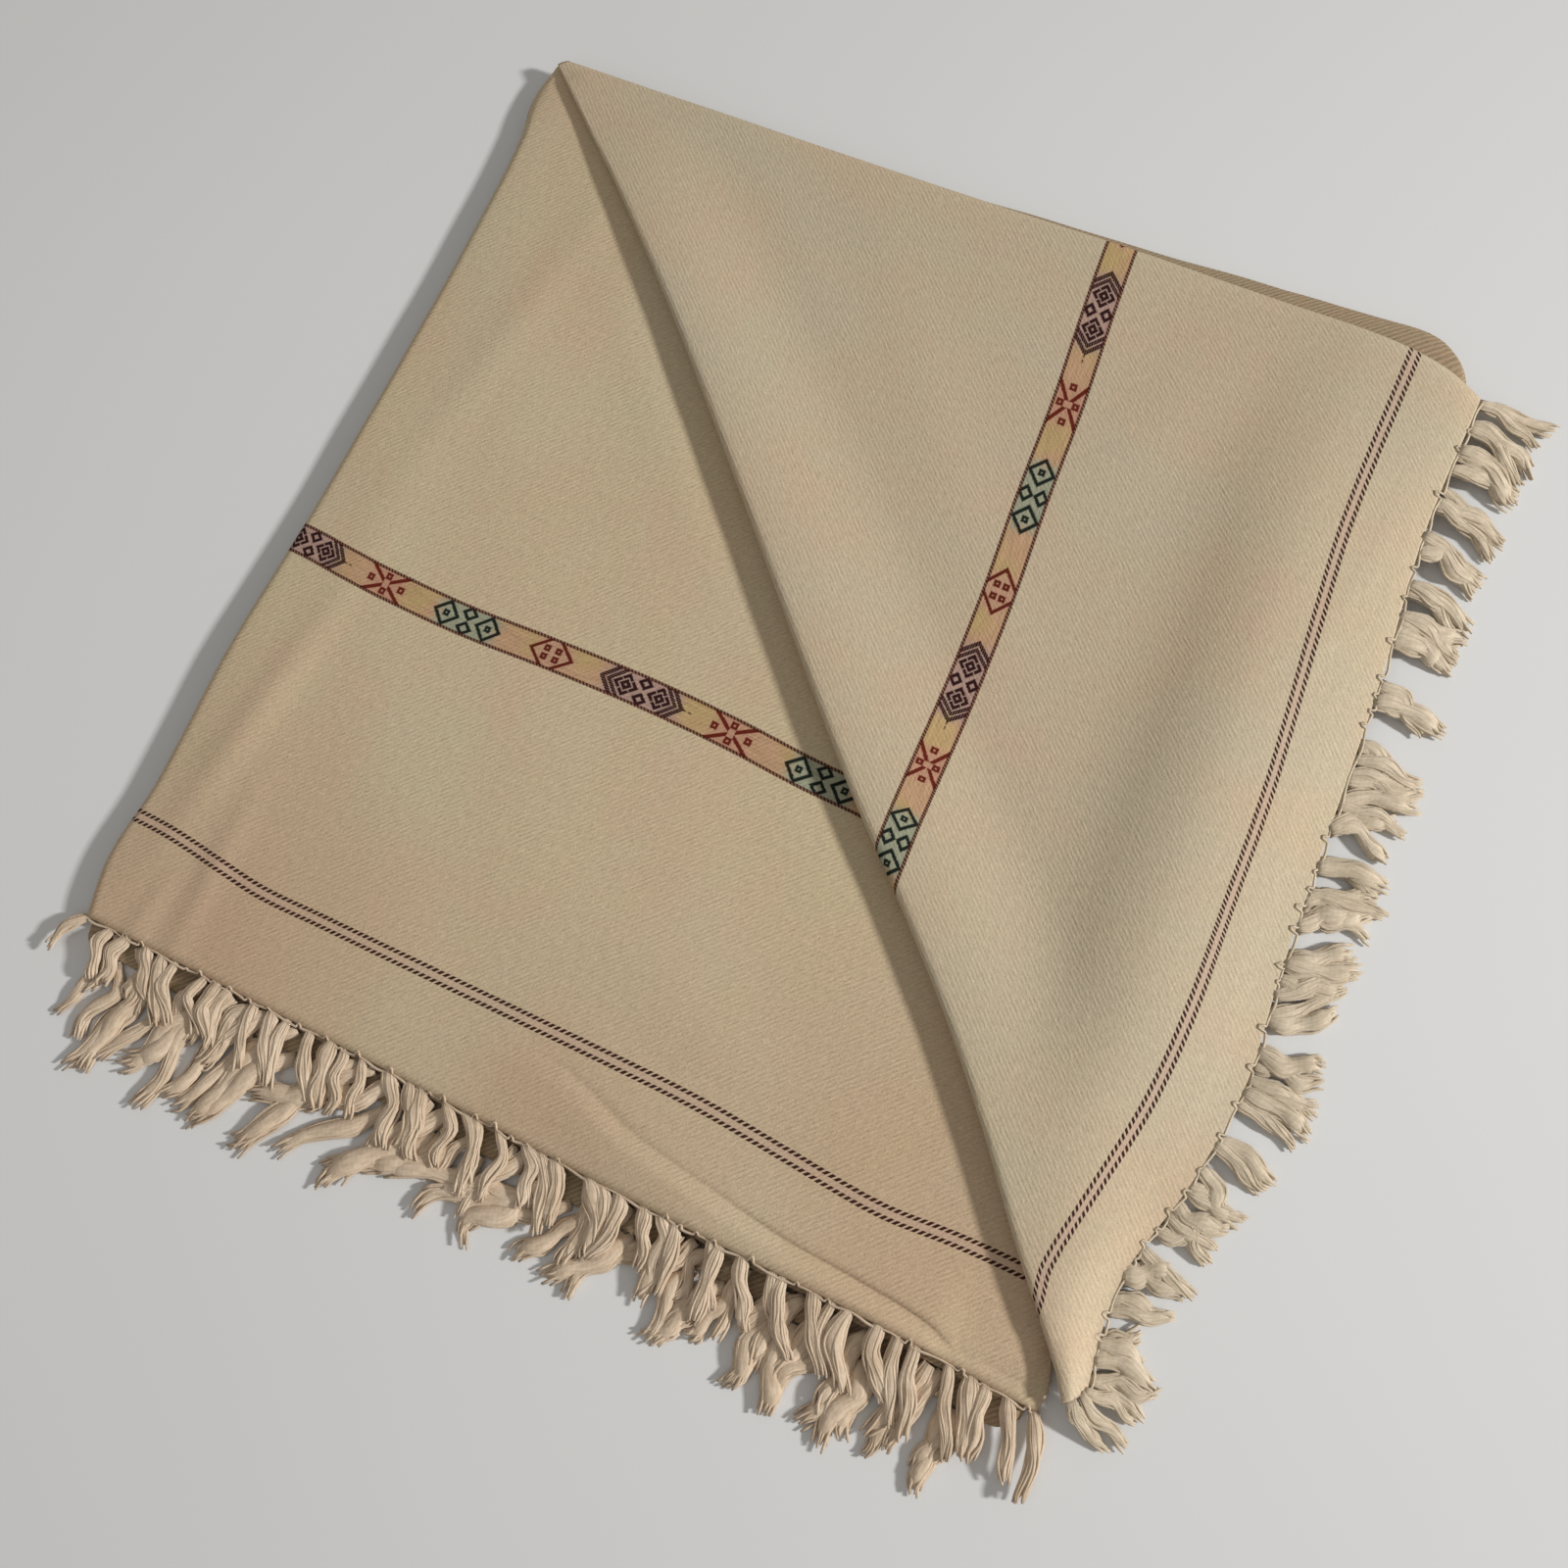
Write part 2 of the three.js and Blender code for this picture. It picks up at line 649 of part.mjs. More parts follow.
function addPiece(name, geometry, finish) {
  const piece = new THREE.Mesh(geometry, new THREE.MeshStandardMaterial(finish));
  piece.name = name;
  shawl.add(piece);
}

const secondLayer = secondLayerGrid();
const topLayer = topLayerGrid();
const flapEdge = topLayer.rows.slice(topLayer.cornerRow).map((row) => row[row.length - 1]);
const secondEdge = secondLayer[secondLayer.length - 1];
const lowestLip = stackOutline(LIPS[0], 0);
const LIP_EDGE_HEIGHT = 1.7;
const lowerEdge = lowestLip
  .slice(CORNER_STEPS, CORNER_STEPS + SIDE_STEPS + 1)
  .map((p) => new THREE.Vector3(p.x, p.y, LIP_EDGE_HEIGHT));

addPiece("folded_stack", foldedStack(), INNER_WOOL);
addPiece("second_layer", clothWall(secondLayer), FACE_WOOL);
addPiece("top_layer_turned_corner", clothWall(topLayer.rows), REVERSE_WOOL);
addPiece(
  "fringe_second_layer",
  fringeRow({
    edge: secondEdge,
    table: SECOND_STRANDS,
    count: 48,
    tipHeight: 5.4,
  }),
  YARN,
);
addPiece(
  "fringe_lower_layers",
  fringeRow({
    edge: lowerEdge,
    table: LOWER_STRANDS,
    count: 48,
    tipHeight: 1.9,
  }),
  YARN,
);
addPiece(
  "fringe_turned_corner",
  fringeRow({
    edge: [...flapEdge].reverse(),
    table: FLAP_STRANDS,
    count: 46,
    tipHeight: 1.9,
  }),
  YARN,
);

export default shawl;
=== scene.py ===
"""Looks of a wool shawl, folded to a square with one corner of its top layer turned back.

Tables and shapes are in millimetres, as in the solids, and every mesh is written in metres. The origin is
the middle of the folded square, on the surface it lies on. +X runs along the fringed side, +Y towards the
top fold, and +Z up.
"""

import logging
import math
from dataclasses import dataclass, field
from enum import Enum
from typing import Any, Callable, Sequence

import bpy
import numpy as np
from mathutils import Matrix, Vector

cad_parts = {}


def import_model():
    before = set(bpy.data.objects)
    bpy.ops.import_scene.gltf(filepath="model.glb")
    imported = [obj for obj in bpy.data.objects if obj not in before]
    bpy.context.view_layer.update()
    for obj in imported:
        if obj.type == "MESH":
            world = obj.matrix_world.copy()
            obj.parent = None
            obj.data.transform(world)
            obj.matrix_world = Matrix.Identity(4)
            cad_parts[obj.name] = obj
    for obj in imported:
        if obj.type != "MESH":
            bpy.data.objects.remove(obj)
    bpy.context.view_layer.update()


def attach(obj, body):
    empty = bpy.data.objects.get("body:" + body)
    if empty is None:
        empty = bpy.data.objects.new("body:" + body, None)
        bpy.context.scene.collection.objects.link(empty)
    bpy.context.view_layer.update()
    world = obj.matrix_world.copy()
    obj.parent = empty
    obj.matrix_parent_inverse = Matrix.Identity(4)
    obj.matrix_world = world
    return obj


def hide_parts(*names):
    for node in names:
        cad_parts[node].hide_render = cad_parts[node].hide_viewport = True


LOG = logging.getLogger("shawl")
MM = 0.001
PER_METRE = 1000.0
HALF = 325.0
ROOT2 = math.sqrt(2.0)
TURN = 2.0 * math.pi
TINY = 1e-9
FAR_AWAY = -900.0
SHEEN_ROUGHNESS = 0.45
SPECULAR_LEVEL = 0.08
YARN_SIDES = 4
Array = np.ndarray
Colour = tuple[float, float, float]
Rows = tuple[tuple[float, float], ...]


class Draw(Enum):
    """What varies from strand to strand or stitch to stitch, each with scattered numbers of its own."""

    HEADING = 1
    LENGTH = 2
    CURL = 3
    YARN_PLACE = 4
    TWIST = 5
    WANDER = 6
    BOB = 7
    YARN_LENGTH = 8
    WAVE = 9
    PHASE = 10
    WIDTH = 11
    FAN = 13
    LIFT = 14
    PLACE = 15
    SWELL = 16
    HOOK = 17
    STITCH_SIZE = 21
    STITCH_MADE = 22


def linear(red: int, green: int, blue: int) -> Colour:
    """A colour read in screen steps, as the linear one that shaders use.

    Args:
        red: its red, from 0 to 255.
        green: its green.
        blue: its blue.

    Returns:
        Each share over 12.92 where it is very dark, and else (share + 0.055) / 1.055 to the power of 2.4.
    """
    shares = np.array([red, green, blue]) / 255.0
    low, high = shares / 12.92, ((shares + 0.055) / 1.055) ** 2.4
    return tuple(float(v) for v in np.where(shares <= 0.04045, low, high))


def smoothstep(place: Array, start: float | Array, end: float | Array) -> Array:
    """0 before start, 1 after end, and three t squared less two t cubed between them."""
    t = np.clip((place - start) / (end - start), 0.0, 1.0)
    return t * t * (3.0 - 2.0 * t)


def lerp(start: Array | float, end: Array | float, share: Array | float) -> Array:
    """The value that lies the given share of the way from start to end."""
    return start + (end - start) * share


def spread(steps: int, crowding: float = 0.6) -> Array:
    """Numbers from 0 to 1, closer together near both ends.

    Args:
        steps: how many steps lie between them.
        crowding: 0 for even steps, towards 1 for steps that shrink at the ends.

    Returns:
        t less crowding times sin(2 pi t) / (2 pi), for even t.
    """
    t = np.linspace(0.0, 1.0, steps + 1)
    return t - crowding * np.sin(TURN * t) / TURN


def scatter(place: Array | float, draw: Draw, seed: float = 0.0) -> Array:
    """Numbers that look random, and are the same each time for the same places.

    Args:
        place: whole or broken numbers, one for each that is wanted.
        draw: the quantity that they are for.
        seed: a number that sets one row of strands apart from the next.

    Returns:
        The part behind the point of a sine that is far too fast to follow, stretched to -1 to 1.
    """
    wave = np.sin(np.asarray(place) * 12.9898 + (draw.value + seed) * 78.233) * 437.585
    return 2.0 * (wave - np.floor(wave)) - 1.0


def smooth_through(at: Array, value: Array, place: Array) -> Array:
    """A smooth curve through table rows: cubic pieces that share their slopes at the rows.

    Args:
        at: the rows' places, rising.
        value: the rows' values, one a row or one array of place's shape a row.
        place: where the curve is wanted.

    Returns:
        The straight line between two rows, plus t (1 - t) times a bend that meets both slopes.
    """
    rows = np.arange(len(at))
    before, after = np.maximum(rows - 1, 0), np.minimum(rows + 1, len(at) - 1)
    run = (at[after] - at[before]).reshape((-1,) + (1,) * (value.ndim - 1))
    slope = (value[after] - value[before]) / run
    i = np.clip(np.searchsorted(at, place) - 1, 0, len(at) - 2)

    def pick(table: Array, k: Array) -> Array:
        """The table's values in rows k."""
        return table[k] if table.ndim == 1 else np.take_along_axis(table, k[None], 0)[0]

    width = at[i + 1] - at[i]
    t = np.clip((place - at[i]) / width, 0.0, 1.0)
    rise = pick(value, i + 1) - pick(value, i)
    bend = (pick(slope, i) * width - rise) * (1.0 - t) - (pick(slope, i + 1) * width - rise) * t
    return pick(value, i) + rise * t + bend * t * (1.0 - t)


@dataclass(frozen=True)
class Curve:
    """A smooth curve through a short table of places and values."""

    rows: Rows

    def __call__(self, place: Array | float) -> Array:
        """The curve's value at each place."""
        table = np.array(self.rows, float)
        return smooth_through(table[:, 0], table[:, 1], np.asarray(place, float))


@dataclass(frozen=True)
class Swell:
    """A broad soft rise, or a trough where its rise is below 0."""

    x: float
    y: float
    along: float
    across: float
    turn: float
    rise: float

    def height(self, x: Array, y: Array) -> Array:
        """What the rise adds to the cloth's height.

        Args:
            x: places in plan.
            y: places in plan.

        Returns:
            rise times exp of minus (u / along) squared minus (v / across) squared, with u and v turned.
        """
        turn = math.radians(self.turn)
        u = (x - self.x) * math.cos(turn) + (y - self.y) * math.sin(turn)
        v = (y - self.y) * math.cos(turn) - (x - self.x) * math.sin(turn)
        return self.rise * np.exp(-((u / self.along) ** 2) - (v / self.across) ** 2)


@dataclass(frozen=True)
class Ripple:
    """A faint ripple over a whole sheet, with the lengths over which it turns by one radian."""

    rise: float
    x_length: float
    y_length: float
    start: float = 0.0

    def height(self, x: Array, y: Array) -> Array:
        """What the ripple adds to the cloth's height."""
        return self.rise * np.sin(x / self.x_length + y / self.y_length + self.start)


LEFT_FOLD = Curve((
    (-332, -321), (-290, -329), (-240, -325), (-140, -328), (-40, -324.5),
    (100, -323), (200, -324.5), (260, -328), (290, -335), (318, -332),
))
SECOND_FRINGE = Curve(((-321, -332), (-146, -330), (63, -330), (223, -327.5), (312, -330)))
SECOND_RIGHT = 298.0
SECOND_TOP = Curve(((-332, 317), (-230, 319), (0, 321), (SECOND_RIGHT, 322)))
FLAP_TOP_EDGE = Curve((
    (-328, 321), (-122, 325), (-17, 327.5), (91, 331), (177, 331.5), (254, 331), (290, 327), (317.5, 318),
))
FLAP_FRINGE = Curve((
    (-315, 337), (-272, 330), (-240, 330), (-183, 343), (-120, 349),
    (-60, 343), (20, 337), (130, 329), (225, 318.5), (318, 317.5),
))
FLAP_STATIONS = (-290.0, -150.0, 0.0, 150.0, 300.0)
FLAP_HEIGHT = (
    (0, 5.4, 5.2, 6.8, 9, 12.4),
    (10, 8.6, 8.2, 10, 12.4, 14.6),
    (25, 12.6, 13, 14.8, 16, 16.6),
    (45, 16.2, 17.4, 18.6, 18.6, 17.8),
    (70, 18.2, 19.8, 20.4, 19.8, 18.2),
    (100, 18, 19.2, 19.2, 18.6, 17.4),
    (140, 17, 17.4, 16.8, 16.6, 16.6),
    (180, 17, 16.8, 16.2, 16.2, 16.2),
    (240, 17, 17.6, 17, 16.6, 16.4),
    (330, 17, 17.6, 18.2, 17.2, 16.4),
    (660, 17, 17.6, 18, 17.2, 16.2),
)


@dataclass(frozen=True)
class Lip:
    """How far one folded pair of hidden layers reaches past the square on each side."""

    left: float
    right: float
    fringe: float
    top_left: float
    top_right: float


LIPS = (Lip(-4, -14, 24, -2, 30), Lip(-5, -15, 9, -1, 29), Lip(-7, -16, -5, -5, 27))


@dataclass(frozen=True)
class Lie:
    """How high each layer lies, by the same rules as the solids."""

    cloth: float = 1.2
    lay: float = 0.8
    stack_height: float = 11.0
    top_bow: float = 4.0
    softness: float = 3.0
    least_inside: float = 0.2
    edge_spring: float = 0.8
    edge_width: float = 30.0
    shoulder: Curve = Curve(((0, 3), (2, 2.3), (6, 1.6), (14, 0.95), (28, 0.45), (50, 0.12), (80, 0)))
    droop: Curve = Curve(((0, 2.4), (1.2, 1.2), (2.6, 0.4), (4.5, 0)))
    top_fall: Curve = Curve(((0, 3.2), (3, 1.9), (8, 1), (20, 0.3), (34, 0)))
    swells: tuple[Swell, ...] = (
        Swell(-90, -190, 250, 95, -6, 2.6),
        Swell(-235, 150, 150, 60, 68, 1.6),
        Swell(-150, 235, 110, 42, -42, 1.1),
        Swell(140, -318, 120, 20, -8, 1.5),
    )

    def inside(self, x: Array, y: Array, more_left: float = 0.0, more_fringe: float = 0.0) -> Array:
        """How far a point lies inside the highest lip: a soft minimum over its four sides.

        Args:
            x: places in plan.
            y: places in plan.
            more_left: how much farther the left side is taken to reach.
            more_fringe: the same of the fringed side.

        Returns:
            The distance, always above 0.
        """
        lip = LIPS[-1]
        across = np.clip((x + HALF) / (2 * HALF), 0.0, 1.0)
        top = HALF + lerp(lip.top_left, lip.top_right, across) - self.top_bow * np.sin(math.pi * across)
        left, fringe = x + HALF + lip.left + more_left, y + HALF + lip.fringe + more_fringe
        sides = (left, HALF + lip.right - x, fringe, top - y)
        total = sum(np.maximum(side, self.least_inside) ** -self.softness for side in sides)
        return total ** (-1.0 / self.softness)

    def second(self, x: Array, y: Array) -> Array:
        """Middle surface of the second layer.

        Args:
            x: places in plan.
            y: places in plan.

        Returns:
            The bed below it, plus its swells, less the droop of its edges.
        """
        bed = self.stack_height - self.shoulder(self.inside(x, y))
        droop = np.maximum(self.droop(x - LEFT_FOLD(y)), self.droop(y - SECOND_FRINGE(x)))
        swell = sum(swell.height(x, y) for swell in self.swells)
        return bed + self.lay + self.cloth / 2 + swell - droop

    def lower_leaf(self, x: Array, y: Array) -> Array:
        """Middle surface of the leaf below the turned corner, which springs a little at its edges."""
        inward = smoothstep(self.inside(x, y), 0.0, self.edge_width)
        return self.second(x, y) + self.cloth + self.lay + self.edge_spring * (1.0 - inward)

    def upper_leaf(self, x: Array, y: Array) -> Array:
        """Middle surface of the turned corner.

        Args:
            x: places in plan.
            y: places in plan.

        Returns:
            A smooth curve through the height table's stations up the fringe, less the top edge's fall.
        """
        table = np.array(FLAP_HEIGHT, float)
        from_fringe = FLAP_FRINGE(y) - x
        columns = [
            smooth_through(table[:, 0], table[:, k + 1], from_fringe) for k in range(len(FLAP_STATIONS))
        ]
        level = smooth_through(np.array(FLAP_STATIONS), np.stack(columns), y)
        return level - self.top_fall(FLAP_TOP_EDGE(x) - y)


def on_diagonal(along: Array, off: Array) -> tuple[Array, Array]:
    """Plan position from a place along the diagonal and a distance from it towards the far corner."""
    return -HALF + (along + off) / ROOT2, HALF - (along - off) / ROOT2


class Value:
    """A number that varies over a surface. Expressions on it add Math nodes to its tree."""

    def __init__(self, tree: "Tree", socket: bpy.types.NodeSocket) -> None:
        """Wraps an output socket of the tree."""
        self.tree = tree
        self.socket = socket

    def math(self, operation: str, *others: "Value | float", clamp: bool = False) -> "Value":
        """The result of one Math node on this value and others.

        Args:
            operation: the node's operation.
            others: its second and third numbers.
            clamp: True to keep the result from 0 to 1.

        Returns:
            The node's output.
        """
        settings = {"operation": operation, "use_clamp": clamp}
        return Value(self.tree, self.tree.node("Math", settings, (self, *others)).outputs[0])

    def __add__(self, other: "Value | float") -> "Value":
        """This plus other."""
        return self.math("ADD", other)

    def __sub__(self, other: "Value | float") -> "Value":
        """This less other."""
        return self.math("SUBTRACT", other)

    def __rsub__(self, other: float) -> "Value":
        """A number less this."""
        return (self * -1.0) + other

    def __mul__(self, other: "Value | float") -> "Value":
        """This times other."""
        return self.math("MULTIPLY", other)

    __radd__ = __add__
    __rmul__ = __mul__

    def __truediv__(self, other: float) -> "Value":
        """This over a number."""
        return self * (1.0 / other)

    def __mod__(self, other: float) -> "Value":
        """What is left of this after whole steps of other."""
        return self.math("FLOORED_MODULO", other)

    def __abs__(self) -> "Value":
        """This without its sign."""
        return self.math("ABSOLUTE")

    def sine(self) -> "Value":
        """The sine of this, in radians."""
        return self.math("SINE")

    def floor(self) -> "Value":
        """The whole number at or below this."""
        return self.math("FLOOR")

    def most(self, other: "Value | float") -> "Value":
        """The larger of this and other."""
        return self.math("MAXIMUM", other)

    def within(self, half: float, soft: float) -> "Value":
        """A mask: 1 where this lies less than half from 0, with an edge of width soft."""
        return abs(self).math("MULTIPLY_ADD", -1.0 / soft, half / soft + 0.5, clamp=True)

    def above(self, level: float, soft: float) -> "Value":
        """A mask: 1 where this lies above level, with an edge of width soft."""
        return self.math("MULTIPLY_ADD", 1.0 / soft, 0.5 - level / soft, clamp=True)


class Tree:
    """The nodes of one material."""

    def __init__(self, name: str) -> None:
        """Makes an empty material.

        Args:
            name: the material's name.
        """
        self.material = bpy.data.materials.new(name)
        self.material.use_nodes = True
        self.nodes = self.material.node_tree.nodes
        self.links = self.material.node_tree.links
        self.nodes.clear()

    def node(self, kind: str, settings: dict[str, Any] | None = None, inputs: Any = ()) -> bpy.types.Node:
        """Adds one node.

        Args:
            kind: its type, without the common beginning.
            settings: its properties, which are set first.
            inputs: values or links of its sockets, in order or by name or number.

        Returns:
            The node.
        """
        made = self.nodes.new("ShaderNode" + kind)
        for key, value in (settings or {}).items():
            setattr(made, key, value)
        pairs = inputs.items() if isinstance(inputs, dict) else enumerate(inputs)
        for key, value in pairs:
            source = value.socket if isinstance(value, Value) else value
            if isinstance(source, bpy.types.NodeSocket):
                self.links.new(source, made.inputs[key])
            elif isinstance(source, tuple) and len(source) == 3 and made.inputs[key].type == "RGBA":
                made.inputs[key].default_value = (*source, 1.0)
            else:
                made.inputs[key].default_value = source
        return made

    def mix(self, share: Value | float, first: Any, second: Any) -> bpy.types.NodeSocket:
        """The colour that lies share of the way from first to second."""
        settings = {"data_type": "RGBA"}
        return self.node("Mix", settings, {0: share, 6: first, 7: second}).outputs[2]

    def shade(self, colour: Any, light: Value) -> bpy.types.NodeSocket:
        """The colour times a number."""
        return self.node("VectorMath", {"operation": "SCALE"}, {0: colour, "Scale": light}).outputs[0]

    def parts(self, vector: bpy.types.NodeSocket) -> tuple[Value, Value, Value]:
        """The three numbers of a vector."""
        made = self.node("SeparateXYZ", None, (vector,))
        return tuple(Value(self, out) for out in made.outputs)

    def uv(self, name: str) -> tuple[Value, Value]:
        """The two numbers of a UV map, in millimetres."""
        u, v, _ = self.parts(self.node("UVMap", {"uv_map": name}).outputs[0])
        return u * PER_METRE, v * PER_METRE

    def noise(self, vector: Any, scale: float, detail: float = 2.0) -> Value:
        """Cloudy noise from about 0.3 to 0.7.

        Args:
            vector: where it is read.
            scale: how many clouds fit into one unit of vector.
            detail: how many finer octaves it has.

        Returns:
            The noise's number.
        """
        inputs = {"Vector": vector, "Scale": scale, "Detail": detail}
        return Value(self, self.node("TexNoise", None, inputs).outputs[0])

    def vector(self, x: Value | float, y: Value | float, z: Value | float = 0.0) -> bpy.types.NodeSocket:
        """A vector of three numbers."""
        return self.node("CombineXYZ", None, (x, y, z)).outputs[0]

    def surface(self, colour: Any, height: Value, relief: float, roughness: float, sheen: float) -> None:
        """Ends the material in a shader whose bump comes from a height.

        Args:
            colour: the base colour.
            height: the relief's height, from 0 to 1.
            relief: how high 1 stands, in millimetres.
            roughness: the shader's roughness.
            sheen: weight of the soft fuzz.
        """
        bump = self.node("Bump", None, {"Strength": 1.0, "Distance": relief * MM, "Height": height})
        shader = self.node(
            "BsdfPrincipled",
            None,
            {
                "Base Color": colour,
                "Roughness": roughness,
                "Normal": bump.outputs[0],
                "Sheen Weight": sheen,
                "Sheen Roughness": SHEEN_ROUGHNESS,
                "Specular IOR Level": SPECULAR_LEVEL,
            },
        )
        output = self.node("OutputMaterial")
        self.links.new(shader.outputs[0], output.inputs[0])


@dataclass(frozen=True)
class Grain:
    """Cloudy noise over a cloth, whose clouds are so many millimetres long and wide."""

    long: float
    wide: float
    layer: float = 0.0
    detail: float = 2.0

    def over(self, tree: Tree, p: Value, q: Value) -> Value:
        """The noise's number, from about 0.3 to 0.7, over two distances."""
        return tree.noise(tree.vector(p / self.long, q / self.wide, self.layer), 1.0, self.detail)


class Motif(Enum):
    """The motifs of the woven band, in their order from the edge of the cloth."""

    PURPLE = 0
    CROSS = 1
    GREEN = 2
    RED = 3


@dataclass(frozen=True)
class BandChart:
    """The band's four motifs, each drawn from lines, diamonds and small squares."""

    pitch: float = 62.0
    first: float = 14.0
    half_width: float = 9.5
    line: float = 1.5
    diamond_line: float = 0.72
    square_line: float = 0.6
    arm_line: float = 0.85
    soft: float = 0.6
    fine_soft: float = 0.5
    ink: float = 0.97
    wander: float = 0.7
    ground: Colour = linear(187, 159, 113)
    ground_pink: Colour = linear(192, 153, 124)
    pink_share: float = 0.75
    pink_places: Grain = Grain(24.0, 30.0, layer=8.8, detail=1.0)
    border: Colour = linear(74, 26, 18)
    border_half: float = 1.05
    border_pitch: float = 2.3
    border_slant: float = 1.6
    border_wander: float = 0.4
    border_change: float = 0.25
    border_ink: float = 0.85
    motif_ground: tuple[Colour, ...] = (
        linear(176, 146, 132), linear(186, 142, 116), linear(158, 158, 134), linear(186, 147, 120),
    )
    motif_line: tuple[Colour, ...] = (
        linear(38, 6, 14), linear(98, 24, 14), linear(6, 22, 20), linear(92, 22, 12),
    )
    ground_half: tuple[float, ...] = (25.0, 12.0, 21.0, 11.0)
    ground_fade: float = 9.0
    ground_ragged: float = 16.0
    streaks: Grain = Grain(12.0, 0.8, layer=2.3, detail=1.0)
    streak_light: float = 0.6
    wobble_light: float = 0.34
    base_light: float = 0.7
    tick_half: float = 1.2
    tick_apart: float = 1.9
    tick_high: float = 0.45
    tick_ink: float = 0.85

    def diamond(self, u: Value, v: Value, long: float, high: float) -> Value:
        """A mask of a diamond's outline: |u| / long + |v| / high is 1 on it."""
        scale = long * high / math.hypot(long, high)
        outside = (abs(u) / long + abs(v) / high - 1.0) * scale
        return outside.within(self.line * self.diamond_line, self.soft)

    def square(self, u: Value, v: Value, size: float) -> Value:
        """A mask of a small hollow square: the larger of |u| and |v| is size on it."""
        return (abs(u).most(abs(v)) - size).within(self.line * self.square_line, self.soft)

    def purple(self, u: Value, v: Value) -> Value:
        """Two pointed ends of double dotted lines round two broken diamonds and two small ones.

        Args:
            u: distance along the band from the motif's middle.
            v: distance from the band's middle line.

        Returns:
            A mask of its lines.
        """
        outer_at, outer_half, inner_at, inner_half, slope = 27.2, 1.9, 22.6, 1.7, 0.95
        dot_pitch, dot_half, dot_change, dot_least = 1.35, 0.75, 0.35, 0.72
        large_at, break_half, break_share, small_at = 11.4, 0.5, 0.8, 5.4
        point = abs(u) + abs(v) * slope
        dots = (abs(v) * (math.pi / dot_pitch)).sine().within(dot_half, self.fine_soft)
        dots = dots * dot_change + dot_least
        outer = (point - outer_at).within(outer_half, self.soft)
        inner = (point - inner_at).within(inner_half, self.soft)
        beside = abs(u) - large_at
        breaks = abs(abs(beside) - abs(v)).within(break_half, self.soft)
        large = self.diamond(beside, v, long=6.9, high=6.4) * (1.0 - breaks * break_share)
        large = large.most(self.diamond(beside, v, long=2.6, high=2.4))
        small = self.diamond(u, abs(v) - small_at, long=3.6, high=3.2)
        return (outer.most(inner) * dots).most(large).most(small)

    def cross(self, u: Value, v: Value) -> Value:
        """A cross from border to border, open at its middle, with four small squares in its corners.

        Args:
            u: distance along the band from the motif's middle.
            v: distance from the band's middle line.

        Returns:
            A mask of its lines.
        """
        slope, scale, arm_middle, arm_half = 0.66, 0.84, 9.0, 6.9
        beside_at, above_at, size = 11.6, 5.2, 1.45
        arm = (abs(v) - abs(u) * slope) * scale
        arms = arm.within(self.line * self.arm_line, self.soft)
        arms = arms * (abs(u) - arm_middle).within(arm_half, self.soft)
        beside = self.square(abs(u) - beside_at, v, size)
        return arms.most(beside).most(self.square(u, abs(v) - above_at, size))

    def green(self, u: Value, v: Value) -> Value:
        """Two diamonds with a small square in each, and two smaller diamonds between them.

        Args:
            u: distance along the band from the motif's middle.
            v: distance from the band's middle line.

        Returns:
            A mask of its lines.
        """
        beside_at, between_at, long, high = 15.4, 5.2, 8.2, 7.9
        scale, thick_half, thick_share = 5.7, 1.25, 0.8
        beside = abs(u) - beside_at
        large = self.diamond(beside, v, long, high).most(self.square(beside, v, size=1.3))
        thick = (((abs(beside) / long + abs(v) / high) - 1.0) * scale).within(thick_half, self.soft)
        large = large.most(thick * thick_share)
        return large.most(self.diamond(u, abs(v) - between_at, long=4.5, high=3.9))

    def red(self, u: Value, v: Value) -> Value:
        """A diamond a little wider than the band, which cuts its points off, round four small squares."""
        squares = self.square(abs(u) - 3.9, abs(v) - 2.9, size=1.3)
        return self.diamond(u, v, long=14.2, high=12.2).most(squares)

    def paint(self, tree: Tree, cloth: Any, p: Value, v: Value, wobble: Value) -> bpy.types.NodeSocket:
        """Draws the band over the cloth.

        Args:
            tree: the material's nodes.
            cloth: the cloth's own colour.
            p: distance along the band, in millimetres.
            v: distance from its middle line.
            wobble: a small number that makes its lines less exact.

        Returns:
            The colour with the band on it.
        """
        cell = (p - self.first) / self.pitch + 0.5
        u = (cell - cell.floor() - 0.5) * self.pitch + wobble
        which = cell.floor() % float(len(Motif))
        here = {motif: (which - float(motif.value)).within(half=0.25, soft=0.2) for motif in Motif}
        streak = self.streaks.over(tree, p, v)
        edge_at = abs(v) - self.half_width
        v = v + wobble * self.wander
        drawn = {
            Motif.PURPLE: self.purple, Motif.CROSS: self.cross, Motif.GREEN: self.green, Motif.RED: self.red,
        }
        rosy = self.pink_places.over(tree, p, v).above(level=0.47, soft=0.2)
        fill: Any = tree.mix(rosy * self.pink_share, self.ground, self.ground_pink)
        for motif in Motif:
            patch = u + (streak - 0.5) * self.ground_ragged
            patch = here[motif] * patch.within(self.ground_half[motif.value], self.ground_fade)
            fill = tree.mix(patch, fill, self.motif_ground[motif.value])
        fill = tree.shade(fill, streak * self.streak_light + wobble * self.wobble_light + self.base_light)
        for motif in Motif:
            lines = here[motif] * drawn[motif](u, v) * self.ink
            fill = tree.mix(lines, fill, self.motif_line[motif.value])
        repeat = self.pitch * len(Motif)
        from_tick = (p - (self.first + self.pitch / 2 - repeat / 2)) % repeat - repeat / 2
        ticks = (abs(from_tick) - self.tick_apart).within(self.tick_half, self.fine_soft)
        ticks = ticks * v.within(self.tick_high, self.fine_soft)
        fill = tree.mix(ticks * self.tick_ink, fill, self.motif_line[Motif.PURPLE.value])
        colour = tree.mix(edge_at.above(0.0, self.soft), fill, cloth)
